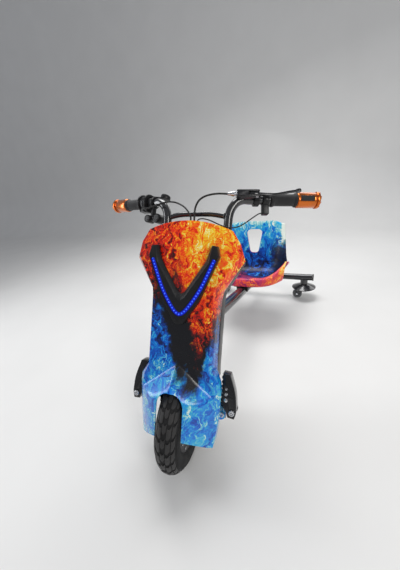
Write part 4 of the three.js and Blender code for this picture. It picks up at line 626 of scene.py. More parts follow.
# %% [markdown]
# ## Grips
# The grip's outer end is an orange anodised sleeve with a notched ring, screw heads and a dark
# rubber window. The rest is rubber with fine ribs and a flared collar. The sleeve and ribs are
# turned; the notches are cut out of the ring by Geometry Nodes, because they repeat evenly around
# it.

# %% Geometry Nodes that repeats a shape around an axis
def node_tree(name, sockets, kinds, links):
    """A geometry node tree from tables: its inputs, its nodes by short name, and its links."""
    tree = bpy.data.node_groups.new(name, "GeometryNodeTree")
    for label, kind in sockets:
        tree.interface.new_socket(name=label, in_out="INPUT", socket_type="NodeSocket" + kind)
    tree.interface.new_socket(name="Geometry", in_out="OUTPUT", socket_type="NodeSocketGeometry")
    nodes = {"in": tree.nodes.new("NodeGroupInput"), "out": tree.nodes.new("NodeGroupOutput")}
    for short, kind, key, value in kinds:
        nodes[short] = tree.nodes.new(kind)
        if key:
            setattr(nodes[short], key, value)
    for source, output, target, entry in links:
        tree.links.new(nodes[source].outputs[output], nodes[target].inputs[entry])
    return tree, nodes


PAINT_NODES = [("onto", "GeometryNodeInstanceOnPoints", None, None),
               ("real", "GeometryNodeRealizeInstances", None, None),
               ("paint", "GeometryNodeSetMaterial", None, None)]
PAINT_LINKS = [("shape", "Geometry", "onto", "Instance"), ("onto", 0, "real", 0),
               ("real", 0, "paint", "Geometry"), ("in", "Material", "paint", "Material"),
               ("paint", 0, "out", 0), ("in", "Shape", "shape", "Object")]
SHAPE_NODE = ("shape", "GeometryNodeObjectInfo", None, None)
MATH_NODES = [(short, "ShaderNodeMath", "operation", kind) for short, kind in (
    ("share", "DIVIDE"), ("angle", "MULTIPLY"), ("turned", "ADD"), ("cosine", "COSINE"),
    ("sine", "SINE"), ("across", "MULTIPLY"), ("up", "MULTIPLY"))]
RING, ring_nodes = node_tree(
    "around_axis",
    [("Shape", "Object"), ("Count", "Int"), ("Radius", "Float"), ("Start angle", "Float"),
     ("Material", "Material")],
    [("line", "GeometryNodeMeshLine", "mode", "OFFSET"),
     ("index", "GeometryNodeInputIndex", None, None), *MATH_NODES,
     ("place", "ShaderNodeCombineXYZ", None, None), ("turn", "ShaderNodeCombineXYZ", None, None),
     ("moved", "GeometryNodeSetPosition", None, None), SHAPE_NODE, *PAINT_NODES],
    [("in", "Count", "line", "Count"), ("index", 0, "share", 0), ("in", "Count", "share", 1),
     ("share", 0, "angle", 0), ("angle", 0, "turned", 0), ("in", "Start angle", "turned", 1),
     ("turned", 0, "cosine", 0), ("turned", 0, "sine", 0), ("cosine", 0, "across", 0),
     ("sine", 0, "up", 0), ("in", "Radius", "across", 1), ("in", "Radius", "up", 1),
     ("across", 0, "place", "Y"), ("up", 0, "place", "Z"), ("line", 0, "moved", "Geometry"),
     ("place", 0, "moved", "Position"), ("turned", 0, "turn", "X"), ("moved", 0, "onto", "Points"),
     ("turn", 0, "onto", "Rotation"), *PAINT_LINKS])
ring_nodes["line"].inputs["Offset"].default_value = (0, 0, 0)
ring_nodes["angle"].inputs[1].default_value = 2 * math.pi


def run_tree(name, tree, values, matrix):
    """Runs a tree on an empty mesh, and turns its result into a plain mesh in its place."""
    carrier = linked(name, bpy.data.meshes.new(name))
    modifier = carrier.modifiers.new("nodes", "NODES")
    modifier.node_group = tree
    for item in tree.interface.items_tree:
        if item.in_out == "INPUT" and item.name in values:
            modifier[item.identifier] = values[item.name]
    bake(carrier)
    carrier.data.transform(matrix)
    if matrix.determinant() < 0:
        carrier.data.flip_normals()
    return carrier


def around(name, build, count, radius, matrix, material, start=0.0):
    """A small shape, made at the origin with +Y outward, repeated around X."""
    shape = solid(name + "_shape", build, Matrix.Identity(4))
    values = {"Shape": shape, "Count": count, "Radius": float(radius), "Start angle": start,
              "Material": material}
    result = run_tree(name, RING, values, matrix)
    bpy.data.objects.remove(shape)
    return result

# %% [markdown]
# Each grip is a ribbed rubber sleeve whose outer end is clad in orange anodised alloy, with a dark
# window on its front and three small screws in its mouth. Both are turned profiles; the notches of
# the rim are cut by one tool that the node tree above repeats around the bar.

# %% Grip ends and rubbers
SLEEVE_INNER, NOTCH_RADIUS, SCREW_CIRCLE = 11.6, 19.2, 6.2
GRIP_END = [(-0.8, 0), (-0.8, 9), (0, 10.5), (0, 15.5), (-1, 16.2), (0, 17), (0, 19.4),
            (-1.1, 20.5), (-8, 20.5), (-9, 19.6), (-9.2, 17.4), (-10.6, 17.4), (-10.8, 18.6),
            (-11.4, 19), (-55.2, 19), (-56.2, 18.2), (-57, 17.4), (-57, SLEEVE_INNER),
            (-2, SLEEVE_INNER), (-2, 0)]
END_SCREW = [(-1, 0), (-1, 2.2), (0.4, 2.2), (0.9, 1.7), (0.9, 0.9), (-0.3, 0.9), (-0.3, 0)]


def notch(bm):
    plate(bm, [(-2.6, -9.6), (2.6, -9.6), (2.6, 3), (-2.6, 3)], -2.8, 4)


def grip_rubber(bm):
    """A sleeve with fine ribs and a flared collar."""
    profile = [(-57.3, SLEEVE_INNER), (-57.3, 17), (-58, 17.5), (-61, 17.4), (-63.4, 15.2)]
    along = -63.4
    while along > -106:
        profile += [(along - 0.7, 14.4), (along - 1.9, 14.4), (along - 2.5, 14.9)]
        along -= 3.2
    profile += [(-109.5, 14.6), (-114.5, 15.4), (-115.8, 16.8), (-121, 17), (-121.7, 16.4),
                (-121.7, SLEEVE_INNER)]
    spin(bm, profile, 80)


for word, grip_node, grip_body in (("left", "grip_left", "steering"),
                                   ("right", "throttle_grip", "throttle")):
    matrix = BAR[word]
    sleeve = solid(f"grip_sleeve_{word}", turned(GRIP_END, 96), matrix)
    cut(sleeve, solid("recess", block((-51, -26, -7.5), (-17, -17.4, 7.5)), matrix))
    cut(sleeve, around("notches", notch, 9, NOTCH_RADIUS, matrix, None))
    rounded(sleeve, 0.35, 2, 40)
    settle(sleeve, "steering", "orange_alloy", ORANGE_ALLOY, [f"grip_end_{word}"])
    part(f"grip_window_{word}", block((-50.5, -18.6, -7), (-17.5, -17.3, 7)), matrix, *RUBBER,
         width=0.5, sharp=38)
    screws = around(f"grip_screws_{word}", turned(END_SCREW, 16), 3, SCREW_CIRCLE, matrix, STEEL,
                    start=0.4)
    screws.data.transform(matrix @ Matrix.Translation((-0.6, 0, 0)) @ matrix.inverted())
    settle(screws, "steering", "bright_steel", None)
    part(f"grip_rubber_{word}", grip_rubber, matrix, grip_body, "grip_rubber", SOFT_BLACK,
         [grip_node], sharp=60)
print("grips are in place")

# %% [markdown]
# ## Cowl
# The cowl is a thin moulded shell: a crowned face, chamfers that run down both sides, and short
# flanks that end at the seam with the black rear cover. Rows of four points down its height define
# it, and the same rows are used here, but the surface between them is drawn with a few millimetres'
# grid, so that the crown is smooth and the fender's crease over the wheel is a clean line. The
# shell then gets its wall, and the wheel arch is cut out of it.

# %% The cowl's rows, as in the CAD model
HALF_WIDTH, HEIGHT, REACH = 137.5, 478.5, 100
ROW_SHARES = [
    ((0.713, 0.961, 0.79), (0.778, 0.955, 0.7), (0.749, 0.953, 0.42), (1, 0.86)),
    ((0.851, 0.899, 0.78), (0.909, 0.897, 0.63), (0.873, 0.886, 0.4), (0.924, 0.89)),
    ((0.902, 0.828, 0.78), (1, 0.817, 0.57), (0.96, 0.815, 0.38), (0.836, 0.91)),
    ((0.72, 0.744, 0.85), (0.822, 0.734, 0.59), (0.8, 0.731, 0.39), (0.748, 0.92)),
    ((0.545, 0.665, 0.91), (0.651, 0.66, 0.63), (0.655, 0.66, 0.41), (0.665, 0.92)),
    ((0.538, 0.627, 0.89), (0.596, 0.625, 0.74), (0.636, 0.623, 0.44), (0.627, 0.91)),
    ((0.538, 0.449, 0.88), (0.589, 0.449, 0.76), (0.625, 0.449, 0.45), (0.449, 0.9)),
    ((0.538, 0.274, 0.88), (0.589, 0.274, 0.76), (0.629, 0.274, 0.45), (0.307, 0.89)),
    ((0.632, 0.219, 0.84), (0.724, 0.213, 0.7), (0.724, 0.213, 0.48), (0.25, 0.88)),
    ((0.655, 0.176, 0.82), (0.749, 0.171, 0.66), (0.74, 0.171, 0.48), (0.19, 0.87)),
    ((0.662, 0.109, 0.79), (0.745, 0.104, 0.62), (0.724, 0.104, 0.47), (0.123, 0.85)),
    ((0.651, 0.036, 0.76), (0.727, 0.031, 0.61), (0.716, 0.031, 0.21), (0.069, 0.85)),
    ((0.582, -0.092, 0.74), (0.662, -0.102, 0.62), (0.662, -0.102, 0.21), (-0.021, 0.84)),
]


def cowl_rows(pitch):
    """Rows of the cowl every few millimetres: face edge, outer edge, seam edge and middle."""
    rows = []
    scaled = []
    for front, outer, seam, middle in ROW_SHARES:
        edges = [Vector((x * HALF_WIDTH, -y * REACH, z * HEIGHT))
                 for x, z, y in (front, outer, seam)]
        scaled.append((*edges, Vector((0, -middle[1] * REACH, middle[0] * HEIGHT))))
    for upper, lower in zip(scaled, scaled[1:]):
        steps = max(1, round((upper[0] - lower[0]).length / pitch))
        for i in range(steps):
            rows.append([a.lerp(b, i / steps) for a, b in zip(upper, lower)])
    rows.append(list(scaled[-1]))
    return rows


def fender_bulge(x, z, share):
    """How far the fender stands out of the face, below a crease that falls to each side."""
    fall = (147 - z - 0.78 * math.sqrt(x * x + 4)) * 0.82
    wedge = (fall + math.sqrt(fall * fall + 9)) / 2
    limit = 46 * (1 - share * share)
    return max(0, (wedge + limit - math.sqrt((wedge - limit) ** 2 + 16)) / 2)


def cowl_grid(pitch, columns):
    """Points of the face, then of the chamfer and the flank, as a grid that wraps the rim."""
    rows = cowl_rows(pitch)
    face = []
    for front, _, _, middle in rows:
        line = []
        for c in range(columns + 1):
            share = 2 * c / columns - 1
            crown = 1 - share * share
            x = share * front.x
            z = front.z + (middle.z - front.z) * crown
            y = front.y + (middle.y - front.y) * crown - fender_bulge(x, z, share)
            line.append(Vector((x, y, z)))
        face.append(line)
    return rows, face


def rim_point(rows, row, share, kind):
    front, middle = rows[row][0], rows[row][3]
    edge = rows[row][kind]
    crown = 1 - share * share
    return Vector((share * edge.x, edge.y, edge.z + (middle.z - front.z) * crown))


def cowl_shell(bm):
    """The cowl's skin: the face first, then the chamfer and the flank in bands around its rim."""
    columns = 56
    rows, face = cowl_grid(3.4, columns)
    spots = {}

    def corner(point, u):
        vertex = bm.verts.new(point)
        spots[vertex] = (u * 0.01, point.z * 0.01)
        return vertex

    grid = [[corner(p, p.x) for p in line] for line in face]
    for upper, lower in zip(grid, grid[1:]):
        for c in range(columns):
            bm.faces.new([upper[c], lower[c], lower[c + 1], upper[c + 1]])
    last = len(rows) - 1
    rim = [(r, 0) for r in range(last, 0, -1)] + [(0, c) for c in range(columns + 1)]
    rim += [(r, columns) for r in range(1, last + 1)]
    before = [grid[r][c] for r, c in rim]
    stretch = [0.0] * len(rim)
    for low, high, steps in ((0, 1, 3), (1, 2, 5)):
        for k in range(1, steps + 1):
            line = []
            for i, (r, c) in enumerate(rim):
                share = 2 * c / columns - 1
                start = face[r][c] if low == 0 else rim_point(rows, r, share, 1)
                point = start.lerp(rim_point(rows, r, share, high), k / steps)
                stretch[i] += (point - before[i].co).length
                reach = math.copysign(stretch[i] * abs(share), share)
                line.append(corner(point, face[r][c].x + reach))
            for i in range(len(rim) - 1):
                bm.faces.new([before[i], line[i], line[i + 1], before[i + 1]])
            before = line
    lay_print(bm, spots)


def arch_tool(bm):
    """The wheel arch: straight sides under a half round, a little wider than the tyre."""
    half, top = 31.5, 90
    centre = top - half
    outline = [(half, -200)] + [(half * math.cos(t), centre + half * math.sin(t))
                                for t in (math.pi * k / 40 for k in range(41))] + [(-half, -200)]
    plate(bm, outline, -200, 40)


cowl = solid("cowl_skin", cowl_shell, STEERING)
wall = cowl.modifiers.new("wall", "SOLIDIFY")
wall.thickness = 0.003
wall.offset = -1
wall.use_even_offset = False
bake(cowl)
cut(cowl, solid("arch", arch_tool, STEERING))
rounded(cowl, 0.9, 2, 55)
print("cowl faces", len(cowl.data.polygons), "uv", [layer.name for layer in cowl.data.uv_layers])

# %% [markdown]
# ## Flame print
# The print is a generic fire over blue flame on black. Real flame photographs are thin bright
# filaments over a soft glow, so the pattern is built in that order: a ridged noise, bent by a
# second noise, gives filaments; a plain noise gives the glow; a mask that follows the height says
# where fire, black and blue flame reign. Everything is read from the print's own UV map, a flat
# sheet wrapped over face and flanks, so it follows the surface.

# %% The print as a material
FIRE = [(0.0, (0.006, 0.0, 0.0)), (0.12, (0.12, 0.002, 0.001)), (0.27, (0.7, 0.008, 0.001)),
        (0.41, (0.98, 0.05, 0.001)), (0.53, (1.0, 0.2, 0.001)), (0.66, (1.0, 0.52, 0.004)),
        (0.82, (1.0, 0.78, 0.05)), (1.0, (1.0, 0.94, 0.5))]
ICE = [(0.0, (0.001, 0.002, 0.01)), (0.16, (0.001, 0.015, 0.12)), (0.32, (0.001, 0.075, 0.5)),
       (0.5, (0.002, 0.22, 0.74)), (0.66, (0.02, 0.42, 0.7)), (0.82, (0.22, 0.62, 0.66)),
       (1.0, (0.82, 0.9, 0.8))]


def threads(nodes, vector, stretch, turn, scale, sharp):
    """Thin bright lines, which follow the contours of a soft noise."""
    drawn_out = nodes.moved(vector, scale=(1.0, stretch, 1), rotation=(0, 0, turn))
    wave = nodes.noise(drawn_out, scale, 3, 0.55)
    folded = nodes.math("PINGPONG", nodes.times(wave, 5), 0.5)
    line = nodes.minus(1.0, nodes.times(folded, 2.0), clamp=True)
    return nodes.math("POWER", line, sharp)


def flame_layer(nodes, place, scale, stops, lift, seed):
    """Filaments over a glow for one kind of flame, through its colours."""
    shifted = nodes.moved(place, location=(seed, seed * 0.7, 0))
    bend = nodes.add("ShaderNodeTexNoise", noise_type="FBM")
    nodes.feed(bend.inputs["Vector"], shifted)
    bend.inputs["Scale"].default_value = scale * 0.7
    bend.inputs["Detail"].default_value = 3
    offset = nodes.add("ShaderNodeVectorMath", operation="MULTIPLY_ADD")
    nodes.feed(offset.inputs[0], bend.outputs["Color"])
    offset.inputs[1].default_value = (3.0 / scale, 4.2 / scale, 0)
    nodes.feed(offset.inputs[2], shifted)
    warped = offset.outputs[0]
    glow = nodes.noise(nodes.moved(warped, scale=(1.0, 0.6, 1)), scale, 5, 0.66)
    broad = threads(nodes, warped, 0.38, 0.35, scale * 0.7, 6)
    fine = threads(nodes, warped, 0.42, -0.5, scale * 1.5, 4)
    patches = nodes.noise(nodes.moved(shifted, location=(4, 9, 0)), scale * 0.5, 2)
    lines = nodes.plus(nodes.times(broad, 0.46), nodes.times(fine, 0.38))
    lines = nodes.times(lines, nodes.ranged(patches, 0.35, 0.65, 0.35, 1.1))
    heat = nodes.plus(nodes.plus(nodes.ranged(glow, 0.3, 0.7, -0.06, 0.56), lines), lift,
                      clamp=True)
    return nodes.ramp(heat, stops)


def curve_of(nodes, value, points):
    """A smooth curve over the print's width, from edge to edge of the cowl."""
    share = nodes.ranged(value, -1.3, 1.3)
    node = nodes.add("ShaderNodeFloatCurve")
    nodes.feed(node.inputs["Value"], share)
    curve = node.mapping.curves[0]
    curve.points[0].location = points[0]
    curve.points[1].location = points[-1]
    for point in points[1:-1]:
        curve.points.new(*point)
    node.mapping.update()
    return node.outputs[0]


def printed(nodes, colour, smooth, rough, coat, coat_roughness, gloss):
    """Lays a printed colour under lacquer: a fine orange peel and a thin clear coat."""
    nodes.link(colour, nodes.shader.inputs["Base Color"])
    grain = nodes.noise(nodes.coordinates(), 60, 2)
    nodes.link(nodes.ranged(grain, 0.3, 0.7, smooth, rough), nodes.shader.inputs["Roughness"])
    nodes.bump(nodes.noise(nodes.coordinates(), 90, 2), 0.00006)
    nodes.fix({"Coat Weight": coat, "Coat Roughness": coat_roughness, "Specular IOR Level": gloss})
    return nodes.material


def printed_cowl():
    nodes = Nodes("printed_flames_cowl")
    place = nodes.coordinates("print")
    across, height = nodes.split(place)
    torn = nodes.noise(nodes.moved(place, scale=(1, 0.7, 1)), 3.2, 5, 0.65)
    torn = nodes.ranged(torn, 0.25, 0.75, -0.6, 0.6)
    # Where the fire ends and the blue flame begins, in decimetres up the cowl, across its width.
    fire_foot = curve_of(nodes, across, [
        (0, 0.58), (0.21, 0.62), (0.33, 0.65), (0.42, 0.66), (0.5, 0.62), (0.57, 0.54),
        (0.63, 0.42), (0.7, 0.38), (0.78, 0.45), (1, 0.55)])
    ice_head = curve_of(nodes, across, [
        (0, 0.56), (0.2, 0.59), (0.3, 0.55), (0.37, 0.46), (0.43, 0.35), (0.49, 0.27), (0.57, 0.22),
        (0.66, 0.18), (0.73, 0.27), (0.8, 0.42), (1, 0.48)])
    above = nodes.minus(nodes.plus(height, torn), nodes.times(fire_foot, 5))
    below = nodes.minus(nodes.minus(nodes.times(ice_head, 5), height), torn)
    fire_share = nodes.ranged(above, -0.25, 0.45, smooth=True)
    ice_share = nodes.ranged(below, -0.2, 0.4, smooth=True)
    # The fire burns brightest right of the middle near the top, and deep red on the left.
    warm_side = curve_of(nodes, across, [
        (0, 0.1), (0.3, 0.2), (0.45, 0.48), (0.62, 0.86), (0.8, 0.86), (1, 0.4)])
    fire_lift = nodes.plus(nodes.ranged(warm_side, 0, 1, -0.16, 0.26),
                           nodes.ranged(height, 2.2, 3.9, -0.36, 0.05))
    pale_low = nodes.ranged(height, 2.5, 0.6, -0.07, 0.22)
    fire = flame_layer(nodes, place, 7.0, FIRE, fire_lift, 3.1)
    ice = flame_layer(nodes, place, 5.0, ICE, pale_low, 11.7)
    base = nodes.mix(fire_share, (0.004, 0.004, 0.006), fire)
    return printed(nodes, nodes.mix(ice_share, base, ice), 0.2, 0.3, 0.3, 0.05, 0.35)


COWL_PRINT = printed_cowl()
settle(cowl, "steering", "cowl_print", COWL_PRINT, ["cowl_front"], sharp=38)
EAR = [(90, 0), (100, -1), (107, 3), (110.5, 10), (110.5, 22), (107, 30), (98, 33.5), (90, 33.5)]
EAR_HOLE_X, EAR_HOLE_Z = 100, 13


def cowl_tabs(bm):
    """The two ears low on the cowl that bolt to the peg brackets."""
    for side in (1, -1):
        plate(bm, [(side * x, z) for x, z in EAR], -24.4, -21)
    lay_print(bm, {vertex: (vertex.co.x * 0.01, vertex.co.z * 0.01) for vertex in bm.verts})


tabs = solid("cowl_tabs", cowl_tabs, STEERING)
for side in (1, -1):
    drill(tabs, STEERING, 4.8, -40, 0, "y", (side * EAR_HOLE_X, 0, EAR_HOLE_Z))
rounded(tabs, 0.8)
settle(tabs, "steering", "cowl_print", COWL_PRINT)
print("cowl is printed")

# %% [markdown]
# ## Light bar
# A black V sits on the cowl's face. Its inner edge falls away in a broad dull facet, and a channel
# near its outer edge holds a blue diffuser with small bright spots where the diodes are. The V is a
# loft of three outlines; the diodes are instances spaced along the diffuser's line.

# %% The V housing
LAMP_HALF, LAMP_LOW, LAMP_TALL = 85.5, 236, 184
V_SHARES = [(0, 0), (0.14, 0.022), (0.54, 0.315), (1, 0.864), (0.936, 0.989), (0.772, 1),
            (0.632, 0.804), (0.094, 0.418), (0, 0.386)]
LED_SHARES = [(0, 0.136), (0.105, 0.158), (0.491, 0.413), (0.877, 0.821)]
FACET_SHIFTS = [(0, 1.5), (-0.5, 1.6), (-1.2, 1.0), (-1.6, -0.4), (-1.6, -1.6), (2.4, -1.8),
                (8.5, -4.5), (2.0, -14), (0, -16)]


def lamp_point(share):
    return Vector((share[0] * LAMP_HALF, LAMP_LOW + share[1] * LAMP_TALL))


def mirrored(points):
    return points + [Vector((-p.x, p.y)) for p in reversed(points) if p.x > 0]


def lamp_body(bm):
    """A loft of three outlines; the topmost falls back along the inner edge as a broad facet."""
    low = [lamp_point(share) for share in V_SHARES]
    top = [point + Vector(shift) for point, shift in zip(low, FACET_SHIFTS)]
    layers = [(mirrored(low), -80), (mirrored(low), -94.5), (mirrored(top), -102.6)]
    rings = [[bm.verts.new((p.x, y, p.y)) for p in points] for points, y in layers]
    add_ring_faces(bm, rings)
    bm.faces.new(rings[0])
    bm.faces.new(rings[-1])


def led_line():
    """The diffuser's middle line, from the picture's left tip down and up to the right one."""
    right_side = [lamp_point(share) for share in LED_SHARES]
    left_side = [Vector((-p.x, p.y)) for p in reversed(right_side[1:])]
    return through([(p.x, 0, p.y) for p in left_side + right_side], 60)


def led_band(bm, half, low, high):
    line = led_line()
    outer, inner = [], []
    for i, point in enumerate(line):
        run = (line[min(len(line) - 1, i + 1)] - line[max(0, i - 1)]).normalized()
        across = Vector((run.z, 0, -run.x)) * half
        outer.append(((point + across).x, (point + across).z))
        inner.append(((point - across).x, (point - across).z))
    plate(bm, outer + inner[::-1], low, high)


lamp_case = solid("light_bar_housing", lamp_body, STEERING)
cut(lamp_case, solid("channel", lambda bm: led_band(bm, 4.9, -110, -99.2), STEERING))
rounded(lamp_case, 0.7, 2, 14)
settle(lamp_case, *PLASTIC, ["lamp_housing"], sharp=30)


def glowing(name, grain, dark, light, roughness, colour, strength, depth=0.0):
    """A hazy blue plastic that gives off a little light of its own."""
    nodes = Nodes(name)
    haze = nodes.noise(nodes.coordinates(), grain, 2)
    nodes.link(nodes.mix(haze, dark, light), nodes.shader.inputs["Base Color"])
    nodes.fix({"Roughness": roughness, "Emission Color": (*colour, 1),
               "Emission Strength": strength})
    if depth:
        nodes.bump(haze, depth)
    return nodes.material


STRIP_GLOW = glowing("blue_diffuser", 90, (0.002, 0.01, 0.32), (0.004, 0.02, 0.6), 0.25,
                     (0.004, 0.015, 1), 0.16, depth=0.00003)
strip = part("blue_diffuser", lambda bm: led_band(bm, 4.4, -101.2, -99.4), STEERING, "steering",
             "led_blue", STRIP_GLOW, ["led_strip"], width=0.6, sharp=60)
print("light bar faces", len(lamp_case.data.polygons), len(strip.data.polygons))

# %% [markdown]
# Under the diffuser of a real light bar sit small diodes at an even pitch, which show as a row of
# brighter dots. They could be modelled one by one; a small node tree that spaces one dome along a
# line gives the same row from a count.

# %% Diodes, spaced along the diffuser by Geometry Nodes
LINE = node_tree(
    "along_line",
    [("Line", "Object"), ("Shape", "Object"), ("Count", "Int"), ("Material", "Material")],
    [("line", "GeometryNodeObjectInfo", None, None), SHAPE_NODE,
     ("points", "GeometryNodeCurveToPoints", "mode", "COUNT"), *PAINT_NODES],
    [("in", "Line", "line", "Object"), ("line", "Geometry", "points", "Curve"),
     ("in", "Count", "points", "Count"), ("points", "Points", "onto", "Points"), *PAINT_LINKS])[0]


def along(name, points, build, count, matrix, material):
    """A small shape repeated along a line of points."""
    curve = bpy.data.curves.new(name + "_line", "CURVE")
    curve.dimensions = "3D"
    spline = curve.splines.new("POLY")
    spline.points.add(len(points) - 1)
    for target, point in zip(spline.points, points):
        target.co = (*point, 1)
    guide = linked(name + "_line", curve)
    shape = solid(name + "_shape", build, Matrix.Identity(4))
    values = {"Line": guide, "Shape": shape, "Count": count, "Material": material}
    result = run_tree(name, LINE, values, matrix)
    for helper in (guide, shape):
        bpy.data.objects.remove(helper)
    return result


DIODE = [(-0.9, 0), (-0.75, 0.9), (-0.4, 1.5), (0, 1.75), (0.3, 1.75), (0.3, 0)]
DIODE_GLOW = glowing("blue_diode", 200, (0.02, 0.08, 0.85), (0.05, 0.16, 1), 0.2, (0.02, 0.12, 1),
                     0.75)
diodes = along("blue_diodes", [p + Vector((0, -101.3, 0)) for p in led_line()],
               turned(DIODE, 12, "y"), 41, STEERING, DIODE_GLOW)
settle(diodes, "steering", "led_blue", None, sharp=60)
print("light bar is lit")

# %% [markdown]
# ## Seat
# The bucket seat is one thin shell. Stations from the front lip over the pan to the top of the back
# give its line, its width and how far its flanks rise. A smooth curve through them is sampled
# closely, so that the shell bends without facets. The window in the back is cut out, and then every
# edge is rounded.

# %% The seat's stations and surface
SEAT = {"front": 566, "length": 310, "bottom": 207, "height": 248, "half": 184, "rise": 84,
        "wall": 6, "drop": 24, "sweep": 112}
STATIONS = [
    (0, 0.073, 0.9, 0.3, 1), (0.01, 0.15, 0.93, 0.35, 0.97), (0.036, 0.198, 0.95, 0.45, 0.92),
    (0.1, 0.2, 0.965, 0.56, 0.8), (0.2, 0.135, 0.985, 0.74, 0.58), (0.34, 0.069, 1, 0.83, 0.3),
    (0.48, 0.024, 1.01, 0.85, 0.1), (0.625, 0, 1.005, 0.85, 0), (0.746, 0.016, 0.995, 0.82, 0),
    (0.825, 0.089, 0.97, 0.74, 0), (0.871, 0.214, 0.93, 0.62, 0), (0.9, 0.395, 0.885, 0.45, 0),
    (0.929, 0.597, 0.855, 0.31, 0), (0.962, 0.798, 0.825, 0.19, 0), (0.987, 0.94, 0.8, 0.131, 0),
    (1, 1, 0.775, 0.095, 0),
]


def seat_frames(steps):
    """Close stations along the seat, in millimetres.

    Each is back, height, half width, rise, sweep, the surface's direction and the way so far."""
    line = through([(s[0] * SEAT["length"], s[1] * SEAT["height"], 0) for s in STATIONS], steps)
    walked = [0.0]
    for a, b in zip(STATIONS, STATIONS[1:]):
        walked.append(walked[-1] + math.hypot((b[0] - a[0]) * SEAT["length"],
                                              (b[1] - a[1]) * SEAT["height"]))
    frames = []
    k = 0
    for i, point in enumerate(line):
        goal = walked[-1] * i / steps
        while k < len(walked) - 2 and walked[k + 1] < goal:
            k += 1
        t = min(1, max(0, (goal - walked[k]) / (walked[k + 1] - walked[k])))
        t = t * t * (3 - 2 * t) * 0.5 + t * 0.5
        a, b = STATIONS[k], STATIONS[k + 1]
        width, rise, sweep_by = (a[j] + (b[j] - a[j]) * t for j in (2, 3, 4))
        run = line[min(steps, i + 1)] - line[max(0, i - 1)]
        run.normalize()
        frames.append((SEAT["front"] + point.x, SEAT["bottom"] + point.y, width * SEAT["half"],
                       rise * SEAT["rise"], sweep_by * SEAT["sweep"], -run.y, run.x, goal))
    return frames


def seat_point(station, share, depth, top):
    back, height, half, rise, sweep_by, normal_back, normal_up, _ = station
    reach, side = abs(share), math.copysign(1, share)
    flank = max(0, (reach - 0.45) / 0.55)
    turn = math.atan2(rise * flank * 2, half * 0.55)
    total = rise * flank * flank - math.cos(turn) * depth
    return Vector((
        side * (reach * half - rise * 0.1 * flank) + side * math.sin(turn) * depth,
        back + normal_back * total + sweep_by * reach ** 4,
        height + normal_up * total - top * SEAT["drop"] * flank ** 3,
    ))


def seat_shell(bm):
    """The seat as one closed shell of two grids."""
    steps, columns = 120, 72
    frames = seat_frames(steps)
    spots = {}

    def corner(i, c, depth):
        share = 2 * c / columns - 1
        near_top = max(0, (i / steps - 0.97) / 0.03)
        vertex = bm.verts.new(seat_point(frames[i], share, depth, near_top))
        spots[vertex] = (share * frames[i][2] * 0.01, frames[i][7] * 0.01)
        return vertex

    upper, lower = ([[corner(i, c, depth) for c in range(columns + 1)] for i in range(steps + 1)]
                    for depth in (0.3, SEAT["wall"] - 0.1))
    slab(bm, upper, lower)
    lay_print(bm, spots)


def seat_window(bm):
    top, bottom, corner, low, high = 40, 23, 13, 298, 416
    outline = [(bottom - corner / 2, low), (bottom, low + corner), (top, high - corner),
               (top - corner, high)]
    outline += [(-x, z) for x, z in reversed(outline)]
    plate(bm, outline, 780, 990)


seat = solid("seat_skin", seat_shell)
window = solid("window", seat_window)
rounded(window, 9, 4, 20)
cut(seat, window)
rounded(seat, 1.6, 2, 50)
print("seat faces", len(seat.data.polygons))

# %% [markdown]
# The seat's print is pale blue flame at the top of the back that deepens downward, with a dark
# patch low on one side and a warm band along the pan's front lip. It reuses the filaments of the
# cowl, at a larger scale, and masks that follow the seat's own map from lip to top.

# %% The seat's print
EMBER = [(0.0, (0.02, 0.003, 0.035)), (0.2, (0.14, 0.01, 0.09)), (0.4, (0.42, 0.025, 0.13)),
         (0.56, (0.72, 0.05, 0.07)), (0.72, (0.94, 0.16, 0.02)), (0.87, (0.98, 0.42, 0.03)),
         (1.0, (1.0, 0.72, 0.22))]


